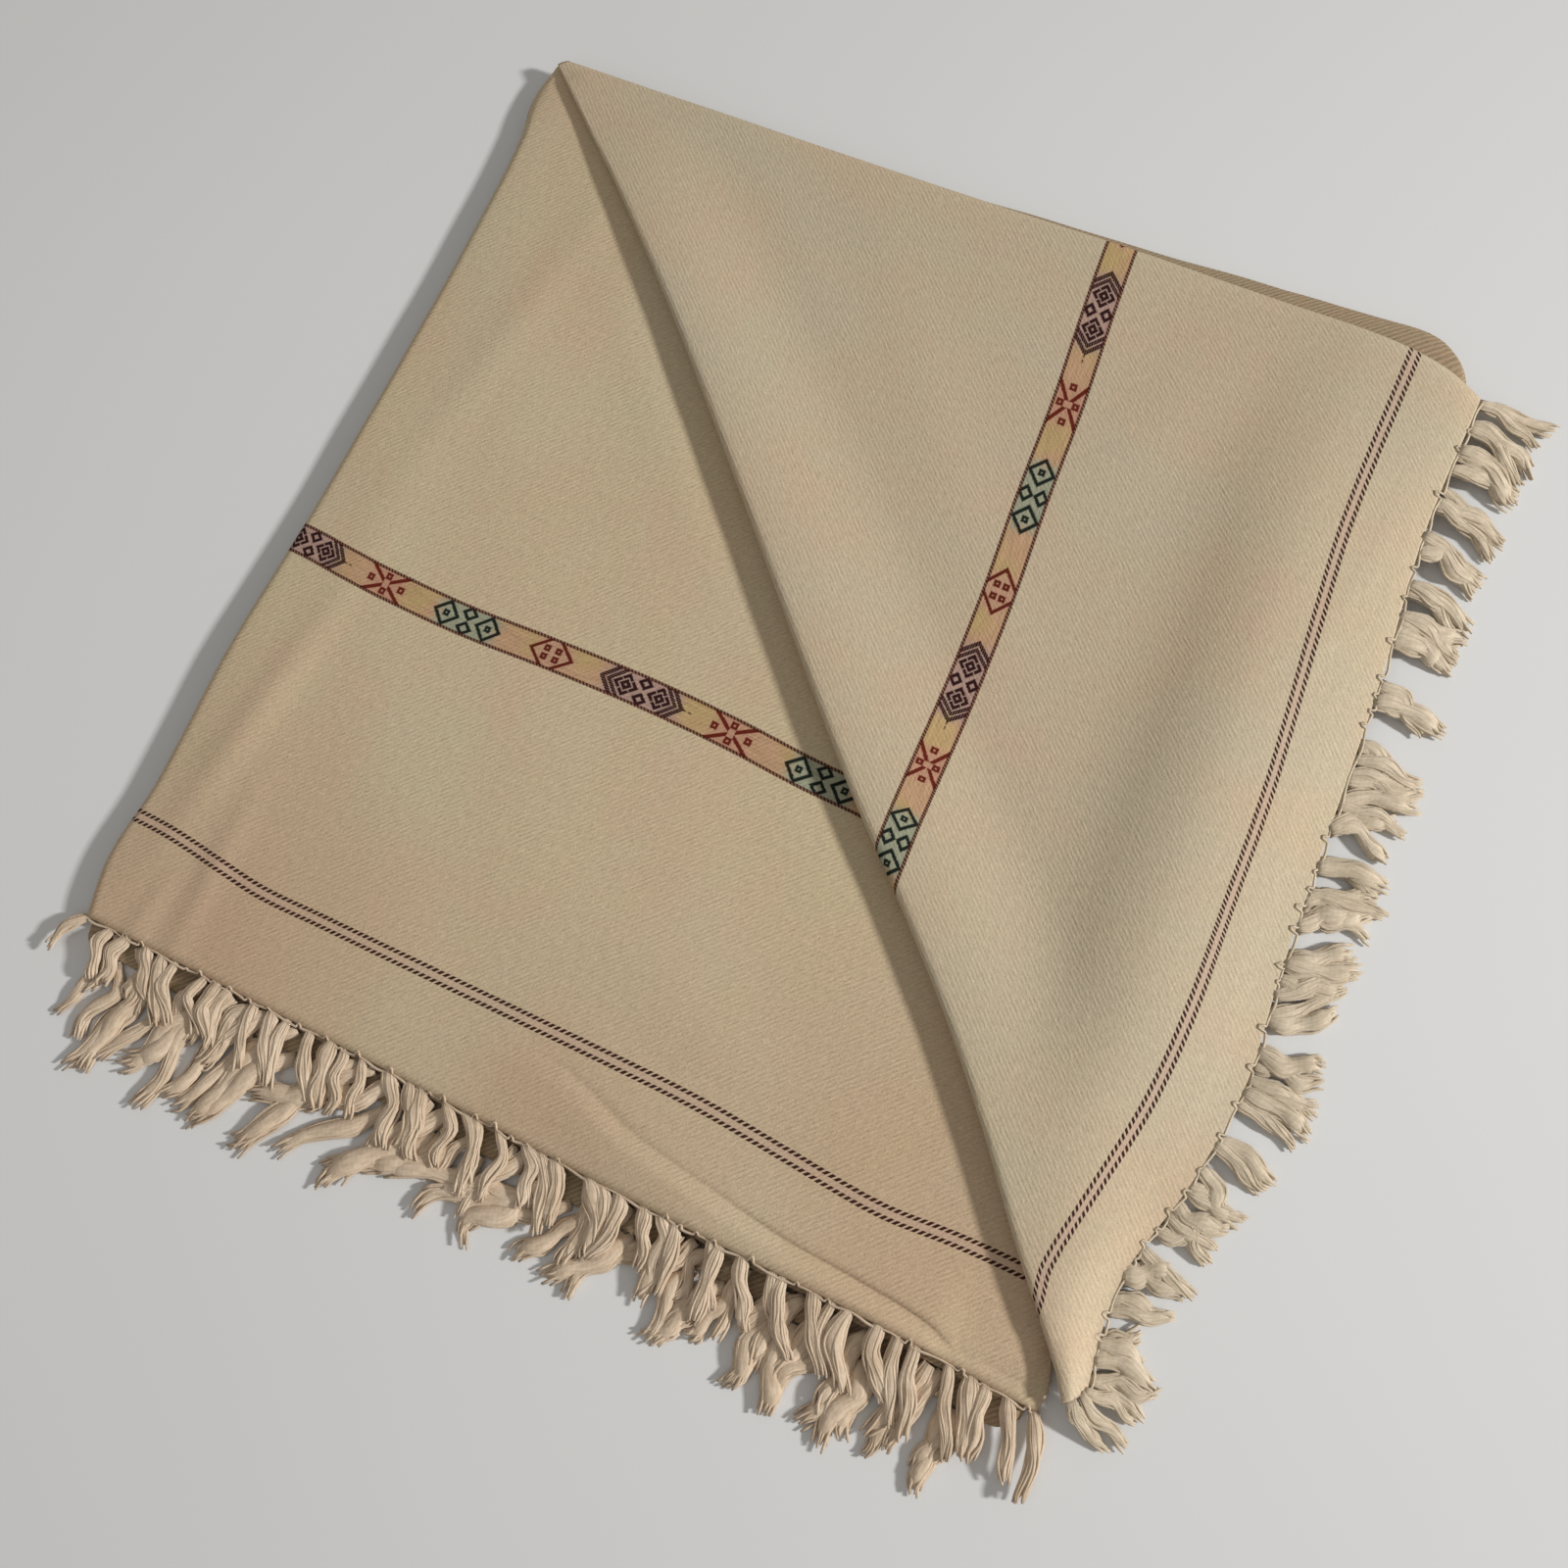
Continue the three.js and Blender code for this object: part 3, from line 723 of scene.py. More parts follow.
        dots = (p * (TURN / self.border_pitch) + v * self.border_slant).sine()
        dots = dots * self.border_change + self.border_ink
        edge = (edge_at + wobble * self.border_wander).within(self.border_half, self.fine_soft) * dots
        return tree.mix(edge, colour, self.border)


@dataclass(frozen=True)
class TwillFinish:
    """Wool twill with a patterned band and a double dotted stripe, on the UV maps Cloth and Pattern."""

    name: str
    slot: str
    ground: Colour
    blush: Colour
    cool: Colour
    turn: float
    pitch: float = 2.55
    pitch_drift: float = 1.6
    stripe_at: float = FAR_AWAY
    band_at: float = FAR_AWAY
    dot: Colour = linear(46, 5, 8)
    dot_level: float = -0.42
    dot_ink: float = 0.96
    between: Colour = linear(196, 160, 146)
    stripe_gap: float = 6.2
    stripe_line: float = 1.35
    dash_pitch: float = 3.75
    pink: float = 0.3
    rib_least: float = 0.1
    warm: Colour = linear(191, 157, 130)
    warm_places: tuple[tuple[float, float, float, float], ...] = ()
    warm_wander: float = 60.0
    cloud_shares: tuple[float, float] = (0.55, 0.45)
    blush_share: float = 0.75
    cool_share: float = 0.6
    wobble: float = 1.5
    stripe_wobble: float = 0.25
    between_inset: float = 0.4
    relief: float = 0.45
    ribs: float = 0.08
    lights: tuple[float, float, float, float] = (0.32, 0.44, 0.4, 0.05)
    base_light: float = 0.452
    heights: tuple[float, float, float, float] = (0.25, 0.35, 0.45, 0.55)
    roughness: float = 0.93
    sheen: float = 0.02
    drift: Grain = Grain(40.0, 40.0)
    wear: Grain = Grain(14.0, 5.0, layer=21.0)
    fleck: Grain = Grain(5.5, 1.7, layer=30.0)
    yarn: Grain = Grain(2.4, 0.8, detail=1.0)
    fuzz: Grain = Grain(1.1, 1.1)
    cloud: Grain = Grain(95.0, 95.0, layer=3.7)
    small_cloud: Grain = Grain(26.0, 26.0, layer=9.1)
    pale: Grain = Grain(70.0, 120.0, layer=17.3, detail=1.0)
    slub: Grain = Grain(9.0, 2.2, layer=5.5, detail=0.0)
    chart: BandChart = BandChart()

    def tint(self, tree: Tree, p: Value, q: Value) -> bpy.types.NodeSocket:
        """The cloth's own colour with its blushes, its cooler places and its warm patches.

        Args:
            tree: the material's nodes.
            p: distance along the cloth, in millimetres.
            q: distance across it.

        Returns:
            The colour, before the weave's light and dark.
        """
        cloud, small_cloud = self.cloud.over(tree, p, q), self.small_cloud.over(tree, p, q)
        large_share, small_share = self.cloud_shares
        blush = (cloud * large_share + small_cloud * small_share).above(level=0.52, soft=0.22)
        colour = tree.mix(blush * self.blush_share, self.ground, self.blush)
        pale = self.pale.over(tree, p, q).above(level=0.56, soft=0.25)
        colour = tree.mix(pale * self.cool_share, colour, self.cool)
        for at_p, at_q, reach, share in self.warm_places:
            off_p, off_q = p - at_p, q - at_q
            off = (off_p * off_p + off_q * off_q).math("SQRT") + (small_cloud - 0.5) * self.warm_wander
            colour = tree.mix(off.within(reach * 0.5, reach) * share, colour, self.warm)
        return colour

    def build(self) -> bpy.types.Material:
        """Makes the material.

        The twill is a sine across its lines, broken up by noise that is stretched along them. The dots of
        the stripe are where a dark yarn rides over the twill's lines.

        Returns:
            The material.
        """
        tree = Tree(self.name)
        p, q = tree.uv("Cloth")
        turn = math.radians(self.turn)
        along = p * math.cos(turn) + q * math.sin(turn)
        across = q * math.cos(turn) - p * math.sin(turn)
        phase = (across + self.drift.over(tree, p, q) * self.pitch_drift) * (TURN / self.pitch)
        worn = self.wear.over(tree, along, across).above(level=0.46, soft=0.3)
        ribs = phase.sine() * (worn * (0.5 - self.rib_least) + self.rib_least) + 0.5
        fleck, yarn = self.fleck.over(tree, along, across), self.yarn.over(tree, along, across)
        fuzz = self.fuzz.over(tree, p, q)
        slub = self.slub.over(tree, p, q).above(level=0.76, soft=0.08)
        yarn_light, fuzz_light, fleck_light, slub_light = self.lights
        light = ribs * self.ribs + yarn * yarn_light + fuzz * fuzz_light + fleck * fleck_light
        light = light + slub * slub_light + (self.base_light - self.ribs / 2)
        colour = tree.shade(self.tint(tree, p, q), light)
        pattern_p, pattern_q = tree.uv("Pattern")
        from_stripe = pattern_q - self.stripe_at
        stripe_half = self.stripe_gap / 2
        between = from_stripe.within(stripe_half - self.between_inset, soft=1.2)
        colour = tree.mix(between * self.pink, colour, self.between)
        wobble = (fuzz - 0.5) * self.wobble
        from_line = abs(from_stripe) - stripe_half + wobble * self.stripe_wobble
        lines = from_line.within(self.stripe_line, soft=0.5)
        slant = pattern_p - from_stripe / math.tan(turn)
        dashes = (slant * (TURN / self.dash_pitch)).sine().above(self.dot_level, soft=0.5)
        colour = tree.mix(lines * dashes * self.dot_ink, colour, self.dot)
        colour = self.chart.paint(tree, colour, pattern_p, pattern_q - self.band_at, wobble)
        rib_height, yarn_height, fuzz_height, fleck_height = self.heights
        height = ribs * rib_height + yarn * yarn_height + fuzz * fuzz_height + fleck * fleck_height
        tree.surface(colour, height, self.relief, self.roughness, self.sheen)
        return tree.material


@dataclass(frozen=True)
class YarnFinish:
    """Loose plied wool yarn, on the UV map Yarn: once round it, and millimetres along it."""

    name: str
    slot: str
    light: Colour = linear(222, 201, 176)
    dark: Colour = linear(199, 176, 149)
    plies: float = 2.0
    twist: float = 2.1
    cloud_scale: float = 55.0
    cloud_share: float = 0.6
    streak_share: float = 0.4
    streaks_round: float = 20.0
    streak_length: float = 7.0
    root_length: float = 7.0
    root_painted_shade: float = 0.12
    ply_light: float = 0.03
    streak_light: float = 0.42
    base_light: float = 0.78
    ply_height: float = 0.12
    relief: float = 0.24
    roughness: float = 0.9
    sheen: float = 0.18

    def build(self) -> bpy.types.Material:
        """Makes the material: soft streaks along the yarn, plies that wind round it, and painted shade near
        its root.

        Returns:
            The material.
        """
        tree = Tree(self.name)
        u, v, _ = tree.parts(tree.node("UVMap", {"uv_map": "Yarn"}).outputs[0])
        v = v * PER_METRE
        plies = (u * (TURN * self.plies) + v * self.twist).sine() * 0.5 + 0.5
        cloud = tree.noise(tree.node("TexCoord").outputs["Object"], self.cloud_scale)
        streak = tree.noise(tree.vector(u * self.streaks_round, v / self.streak_length), 1.0)
        tone = (cloud * self.cloud_share + streak * self.streak_share).above(level=0.5, soft=0.3)
        # Painted shade: the first millimetres of each yarn from its root are darkened, where the strand tucks
        # under the cloth's edge.
        root = 1.0 - (v / self.root_length).above(level=0.5, soft=1.0)
        light = plies * self.ply_light + streak * self.streak_light + self.base_light - root * self.root_painted_shade
        colour = tree.shade(tree.mix(tone, self.dark, self.light), light)
        tree.surface(colour, plies * self.ply_height + streak, self.relief, self.roughness, self.sheen)
        return tree.material


@dataclass(frozen=True)
class PlainFinish:
    """A plain pale surface for the floor, with the faintest unevenness."""

    name: str
    colour: Colour
    cloud_scale: float = 2.0
    change: float = 0.04
    relief: float = 0.02
    roughness: float = 0.85

    def build(self) -> bpy.types.Material:
        """Makes the material: one colour, varied by two parts in a hundred either way.

        Returns:
            The material.
        """
        tree = Tree(self.name)
        cloud = tree.noise(tree.node("TexCoord").outputs["Object"], self.cloud_scale)
        light = cloud * self.change + (1.0 - self.change / 2)
        tree.surface(tree.shade(self.colour, light), cloud, self.relief, self.roughness, sheen=0.0)
        return tree.material


FACE = TwillFinish(
    name="face_twill", slot="face_wool", ground=linear(200, 182, 149), blush=linear(202, 176, 147),
    cool=linear(199, 185, 155), turn=47.0, stripe_at=62.0, band_at=269.0, ribs=0.1,
    warm_places=((80, 20, 150, 0.7), (500, 95, 140, 0.5), (330, 15, 120, 0.5), (560, 40, 90, 0.4)),
)
REVERSE = TwillFinish(
    name="reverse_twill", slot="reverse_wool", ground=linear(193, 177, 149), blush=linear(196, 173, 146),
    cool=linear(189, 178, 153), turn=-48.0, pitch=2.45, stripe_at=45.0, band_at=235.0,
    stripe_gap=5.5, dash_pitch=3.5, dot_level=-0.3, pink=0.42, relief=0.32, ribs=0.14, rib_least=0.2,
)
# The face's wool with its colours darkened as painted shade, for the hidden layers' lips, which lie back from
# the light.
INNER_PAINTED_SHADE = TwillFinish(
    name="inner_twill_painted_shade", slot="inner_wool", ground=linear(160, 141, 114), blush=linear(164, 139, 113),
    cool=linear(155, 139, 114), turn=47.0, ribs=0.4, rib_least=0.35,
)
YARN = YarnFinish(name="wool_yarn", slot="yarn")
PALE_YARN = YarnFinish(name="pale_yarn", slot="yarn", light=linear(219, 203, 179), dark=linear(193, 177, 152))


def put_mesh(
    name: str, points: Array, faces: Array, maps: dict[str, Array], material: bpy.types.Material,
) -> bpy.types.Object:
    """Makes an object from whole arrays.

    Args:
        name: the object's name.
        points: its points, in millimetres, one row each.
        faces: its faces of four corners, one row each.
        maps: UV maps by name, one row of two numbers for each face corner.
        material: what it is dressed in.

    Returns:
        The object, at the origin, smooth shaded.
    """
    mesh = bpy.data.meshes.new(name)
    mesh.vertices.add(len(points))
    mesh.vertices.foreach_set("co", (points * MM).astype(np.float32).ravel())
    mesh.loops.add(faces.size)
    mesh.loops.foreach_set("vertex_index", faces.astype(np.int32).ravel())
    mesh.polygons.add(len(faces))
    mesh.polygons.foreach_set("loop_start", np.arange(0, faces.size, faces.shape[1], dtype=np.int32))
    mesh.update(calc_edges=True)
    for key, corners in maps.items():
        layer = mesh.uv_layers.new(name=key)
        layer.data.foreach_set("uv", corners.astype(np.float32).ravel())
    mesh.validate()
    mesh.polygons.foreach_set("use_smooth", np.ones(len(mesh.polygons), bool))
    mesh.materials.append(material)
    made = bpy.data.objects.new(name, mesh)
    bpy.context.scene.collection.objects.link(made)
    LOG.info("%s: %d faces", name, len(faces))
    return made


def grid_faces(rows: int, columns: int) -> Array:
    """Faces of a grid of points that are numbered row by row.

    Args:
        rows: how many rows of points there are.
        columns: how many points a row has.

    Returns:
        Faces of four corners, which look the way that row direction times column direction points.
    """
    i, j = np.meshgrid(np.arange(rows - 1), np.arange(columns - 1), indexing="ij")
    a = (i * columns + j).ravel()
    return np.stack([a, a + columns, a + columns + 1, a + 1], 1)


def put_sheet(
    name: str, grid: Array, maps: dict[str, Array], material: bpy.types.Material, thickness: float,
) -> bpy.types.Object:
    """Makes a thin closed shell over a grid of points on its middle surface.

    Args:
        name: the object's name.
        grid: points in millimetres, rows by columns by three.
        maps: UV maps by name, rows by columns by two, in millimetres.
        material: what it is dressed in.
        thickness: the cloth's thickness in millimetres.

    Returns:
        The object, with a live Solidify.
    """
    rows, columns = grid.shape[:2]
    faces = grid_faces(rows, columns)
    corner_maps = {key: values.reshape(-1, 2)[faces.ravel()] * MM for key, values in maps.items()}
    made = put_mesh(name, grid.reshape(-1, 3), faces, corner_maps, material)
    shell = made.modifiers.new("thickness", "SOLIDIFY")
    shell.thickness = thickness * MM
    shell.offset = 0.0
    return made


@dataclass(frozen=True)
class EdgeLine:
    """A fringed edge, with the cloth on the left of the way it runs."""

    points: Array

    def run(self) -> Array:
        """Distance along the edge to each of its points."""
        steps = np.diff(self.points[:, :2], axis=0)
        return np.concatenate([[0.0], np.cumsum(np.hypot(steps[:, 0], steps[:, 1]))])

    def at(self, place: Array) -> Array:
        """The edge's points at some distances along it."""
        run = self.run()
        return np.stack([np.interp(place, run, self.points[:, axis]) for axis in range(3)], 1)

    def heading(self, place: Array, span: float = 4.0) -> Array:
        """The edge's direction in plan there, over a short span."""
        head = (self.at(place + span) - self.at(place - span))[:, :2]
        return head / np.hypot(head[:, 0], head[:, 1])[:, None]


@dataclass(frozen=True)
class HiddenLayers:
    """The six hidden layers: three soft lips round the edge and a rounded shoulder."""

    lie: Lie
    lip_zone: float = 8.0
    groove: float = 2.4
    nose: tuple[float, float] = (0.04, 0.96)
    nose_steps: int = 8
    side_steps: int = 60
    corner_steps: int = 14
    ripple: float = 0.45
    waves: tuple[int, int] = (23, 41)
    second_wave: float = 0.6
    wave_shifts: tuple[float, float] = (2.1, 4.4)
    rounds: tuple[float, ...] = (14.0, 18.0, 48.0, 10.0)
    insets: tuple[float, ...] = (0.5, 1, 2, 4, 6, 10, 14, 20, 28, 38, 50, 64, 80, 110, 155, 200, 245, 290)
    node: str = "folded_stack"

    def outline(self, lip: Lip, inset: float) -> Array:
        """The closed outline at one height, anticlockwise from the corner at the fringe and left.

        Each corner is a quadratic curve between two points on its sides, and the top side bows in by a
        half wave.

        Args:
            lip: how far the lip reaches past the square.
            inset: how far inside the lip's nose the outline runs.

        Returns:
            Its points, one row each.
        """
        left, right = -HALF - lip.left + inset, HALF + lip.right - inset
        corners = np.array([
            [left, -HALF - lip.fringe + inset], [right, -HALF - lip.fringe + inset],
            [right, HALF + lip.top_right - inset], [left, HALF + lip.top_left - inset],
        ])
        t = np.linspace(0.0, 1.0, self.corner_steps + 1)[:, None]
        pieces = []
        for k, corner in enumerate(corners):
            before, after = corners[k - 1] - corner, corners[(k + 1) % 4] - corner
            start = corner + before / np.hypot(*before) * self.rounds[k]
            end = corner + after / np.hypot(*after) * self.rounds[k]
            pieces.append(start * (1 - t) ** 2 + corner * 2 * t * (1 - t) + end * t * t)
            ahead = corners[(k + 1) % 4] - after / np.hypot(*after) * self.rounds[(k + 1) % 4]
            s = np.linspace(0.0, 1.0, self.side_steps + 1)[1:-1, None]
            side = lerp(end, ahead, s)
            side[:, 1:] -= (self.lie.top_bow if k == 2 else 0.0) * np.sin(math.pi * s)
            pieces.append(side)
        return np.concatenate(pieces)

    def rings(self) -> Array:
        """All rings from the underside to the middle of the top, rings by points by three.

        A nose is half of an ellipse in section, and ripples of two waves along it make it soft.

        Returns:
            The rings' points in millimetres.
        """
        lip_height = self.lip_zone / len(LIPS)
        first, most = self.nose
        rings = []
        for i, lip in enumerate(LIPS):
            last = i == len(LIPS) - 1
            for share in np.linspace(first, 0.5 if last else most, self.nose_steps + 1):
                depth = 1.0 - math.sqrt(max(0.0, 1.0 - (2.0 * share - 1.0) ** 2))
                ring = self.outline(lip, depth * self.groove)
                rings.append(self.ripples(ring, i, (i + share) * lip_height))
        for inset in self.insets:
            level = self.lie.stack_height - float(self.lie.shoulder(inset))
            rings.append(self.ripples(self.outline(LIPS[-1], inset), len(LIPS) - 1, level))
        rings[0][:, 2] = 0.0
        return np.stack(rings)

    def fringe_edge(self, lip: int, level: float) -> EdgeLine:
        """The nose of one lip along the fringed side, from left to right, at one height."""
        ring = self.outline(LIPS[lip], 0.0)[self.corner_steps:self.corner_steps + self.side_steps + 1]
        return EdgeLine(np.column_stack([ring, np.full(len(ring), level)]))

    def ripples(self, ring: Array, lip: int, level: float) -> Array:
        """A ring at one level, moved in and out a little by two waves round it.

        Args:
            ring: the outline's points in plan.
            lip: the lip's number, which shifts the waves.
            level: the ring's height.

        Returns:
            The ring's points, one row of three each.
        """
        turn = np.linspace(0.0, TURN, len(ring), endpoint=False)
        (few, many), (few_shift, many_shift) = self.waves, self.wave_shifts
        second = self.second_wave * np.sin(turn * many + lip * many_shift)
        wave = np.sin(turn * few + lip * few_shift) + second
        inward = 1.0 - self.ripple * (1.0 + wave / (1.0 + self.second_wave)) / HALF
        return np.column_stack([ring * inward[:, None], np.full(len(ring), level)])

    def build(self) -> bpy.types.Object:
        """Builds and dresses the piece, which replaces the plain solid.

        The rings are joined into a wall, and a fan of faces round a hub closes it below and above. Laid
        flat for the weave, a side unrolls outwards by its height.

        Returns:
            The object.
        """
        rings = self.rings()
        levels, count = rings.shape[:2]
        points = rings.reshape(-1, 3)
        level, k = np.meshgrid(np.arange(levels - 1), np.arange(count), indexing="ij")
        a, b = (level * count + k).ravel(), (level * count + (k + 1) % count).ravel()
        sides = np.stack([a, b, b + count, a + count], 1)
        low, high = points[:count].mean(0), points[-count:].mean(0)
        hub = len(points)
        points = np.vstack([points, low, high])
        pairs = np.arange(count).reshape(-1, 2)
        first, second = pairs[:, 0], pairs[:, 1]
        third = (second + 1) % count
        top = (levels - 1) * count
        caps = np.vstack([
            np.stack([np.full(len(pairs), hub), third, second, first], 1),
            np.stack([np.full(len(pairs), hub + 1), top + first, top + second, top + third], 1),
        ])
        faces = np.vstack([sides, caps])
        ahead = np.roll(rings, -1, axis=1) - np.roll(rings, 1, axis=1)
        outward = np.stack([ahead[..., 1], -ahead[..., 0]], 2) / np.linalg.norm(ahead, axis=2)[..., None]
        flat = (rings[..., :2] - outward * rings[..., 2:] + HALF).reshape(-1, 2)
        flat = np.vstack([flat, low[:2] + HALF, high[:2] + HALF])
        corners = flat[faces.ravel()] * MM
        # The hidden layers wear the darker twill, whose colours carry painted shade.
        made = put_mesh("hidden_layers", points, faces, {"Cloth": corners, "Pattern": corners}, INNER_PAINTED_SHADE.build())
        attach(made, "root")
        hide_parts(self.node)
        return made


@dataclass(frozen=True)
class SecondLayer:
    """The second layer, whose face shows on the left of the turned corner."""

    lie: Lie
    steps: int = 180
    row_steps: tuple[float, ...] = (0, 18, 108, 180)
    row_shares: tuple[float, ...] = (0, 0.035, 0.905, 1)
    thickness: float = 1.1
    node: str = "second_layer"
    reach_left: float = 14.0
    reach_fringe: float = 14.0
    reach_end: tuple[float, float] = (240.0, 300.0)
    notch_steep: float = 1.3
    notch_fade: tuple[float, float] = (3.0, 46.0)
    rise_zone: tuple[float, float] = (-2.0, 13.0)
    rise_settle: tuple[float, float] = (16.0, 45.0)
    drift_zone: tuple[float, float] = (-240.0, -90.0)
    roll_zone: tuple[float, float] = (268.0, 312.0)
    covered: float = 40.0
    right: Curve = Curve(((-332, 316), (-318, 317), (-300, 312), (-284, 303), (-268, 298), (330, 298)))
    corner_roll: Curve = Curve(((0, 3.4), (3, 1.9), (8, 0.8), (16, 0)))
    crease: Curve = Curve((
        (0, -281), (23, -288), (51, -296.5), (96, -303), (154, -310), (200, -311.5), (245, -315), (266, -323),
    ))
    crease_rise: Curve = Curve((
        (-40, 0), (10, 1.6), (60, 3.0), (130, 3.3), (200, 3.0), (245, 2.5), (274, 0), (330, 0),
    ))
    crease_notch: Curve = Curve((
        (-30, 0), (30, 1.0), (90, 1.0), (130, 1.5), (170, 2.2), (245, 2.2), (268, 0), (330, 0),
    ))
    folds: tuple[Swell, ...] = (
        Swell(-262, 120, 190, 16, 82, 0.9),
        Swell(-120, 90, 150, 20, -44, 0.7),
        Swell(-60, -120, 170, 26, 10, 0.8),
        Swell(-286, -175, 105, 13, 83, 1.9),
        Swell(-259, -285, 60, 9, 91, 1.2),
        Swell(-286, -316, 34, 8, 82, 1.0),
        Swell(90, -235, 130, 22, -16, 0.7),
    )
    ripples: tuple[Ripple, ...] = (Ripple(0.12, 17.0, 29.0), Ripple(0.1, 31.0, -13.0, 1.0))
    stripe: Curve = Curve((
        (-345, -263.5), (-300, -263.5), (-264, -267), (-225, -271), (-180, -270), (-65, -267.5),
        (30, -265.5), (80, -265.5), (132, -268.5), (195, -272), (240, -268), (276, -266.5), (330, -266.5),
    ))
    band: Curve = Curve((
        (-345, -59), (-311, -60), (-280, -62.5), (-252, -64), (-191, -64.5),
        (-131, -61.5), (-67, -59.5), (-5, -60.5), (58, -64), (330, -64),
    ))
    motifs: Curve = Curve((
        (-345, -20.5), (-311, 14), (-252, 76), (-191, 138), (-131, 200),
        (-67, 262), (-5, 324), (58, 386), (330, 658),
    ))

    def crease_height(self, x: Array, y: Array) -> Array:
        """The crease by the fringe: a valley with a broad slope on the fringe's side and a steep one above.

        Above the line the cloth rises by 1 less exp of minus the distance, and settles slowly. Below it
        the cloth rises evenly over the rise's zone, and settles by half towards the fringe.

        Args:
            x: places in plan.
            y: places in plan.

        Returns:
            What the crease adds to the cloth's height.
        """
        above, below = y - self.crease(x), self.crease(x) - y
        steep = 1.0 - np.exp(-np.maximum(above, 0.0) / self.notch_steep)
        upper = self.crease_notch(x) * steep * (1.0 - smoothstep(above, *self.notch_fade))
        broad = smoothstep(below, *self.rise_zone) * (1.0 - 0.5 * smoothstep(below, *self.rise_settle))
        return upper + self.crease_rise(x) * broad

    def edge_lift(self, x: Array, y: Array) -> Array:
        """How far the cloth lies above the plain solid by its fringe and left fold, where it bends softly.

        Args:
            x: places in plan.
            y: places in plan.

        Returns:
            How much less the bed drops there once its two sides are taken to reach farther.
        """
        wide = self.lie.inside(x, y, self.reach_left, self.reach_fringe)
        change = self.lie.shoulder(self.lie.inside(x, y)) - self.lie.shoulder(wide)
        return change * (1.0 - smoothstep(x, *self.reach_end))

    def grid(self) -> Array:
        """Points of the middle surface, from the top edge down and from the left fold across.

        The rows lie closest together by the fringe, where the crease is.

        Returns:
            The points, rows by columns by three.
        """
        shares = spread(self.steps)
        rows = np.interp(np.arange(self.steps + 1), self.row_steps, self.row_shares)[:, None]
        level = lerp(SECOND_TOP(0.0), SECOND_FRINGE(0.0), rows)
        left, right = LEFT_FOLD(level), self.right(level)
        x = left + (right - left) * shares[None, :]
        y = lerp(SECOND_TOP(x), SECOND_FRINGE(x), rows)
        ripple = sum(ripple.height(x, y) for ripple in self.ripples)
        z = self.lie.second(x, y) + self.edge_lift(x, y) + self.crease_height(x, y) + ripple
        z = z + sum(fold.height(x, y) for fold in self.folds) * smoothstep(-x - y, 0.0, self.covered)
        return np.stack([x, y, z - self.corner_roll(right - x) * smoothstep(-y, *self.roll_zone)], 2)

    def surface(self, x: Array, y: Array) -> Array:
        """Height of the middle surface near the fringed edge."""
        return self.lie.second(x, y) + self.edge_lift(x, y) + self.crease_height(x, y)

    def pattern(self, x: Array, y: Array) -> Array:
        """Distances along and across the woven pattern, which drifts a little in the cloth.

        Args:
            x: places in plan.
            y: places in plan.

        Returns:
            Two numbers for each place: along the band, and up from the fringed edge.
        """
        at_stripe = FACE.stripe_at - self.stripe(x)
        at_band = FACE.band_at - self.band(x)
        drift = lerp(at_stripe, at_band, smoothstep(y, *self.drift_zone))
        return np.stack([self.motifs(x), y + drift], 2)

    def build(self) -> bpy.types.Object:
        """Builds and dresses the piece, which replaces the plain solid.

        Returns:
            The object.
        """
        grid = self.grid()
        x, y = grid[..., 0], grid[..., 1]
        maps = {"Cloth": np.stack([x + HALF, y + HALF], 2), "Pattern": self.pattern(x, y)}
        made = put_sheet("second_layer_cloth", grid, maps, FACE.build(), self.thickness)
        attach(made, "root")
        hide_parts(self.node)
        return made


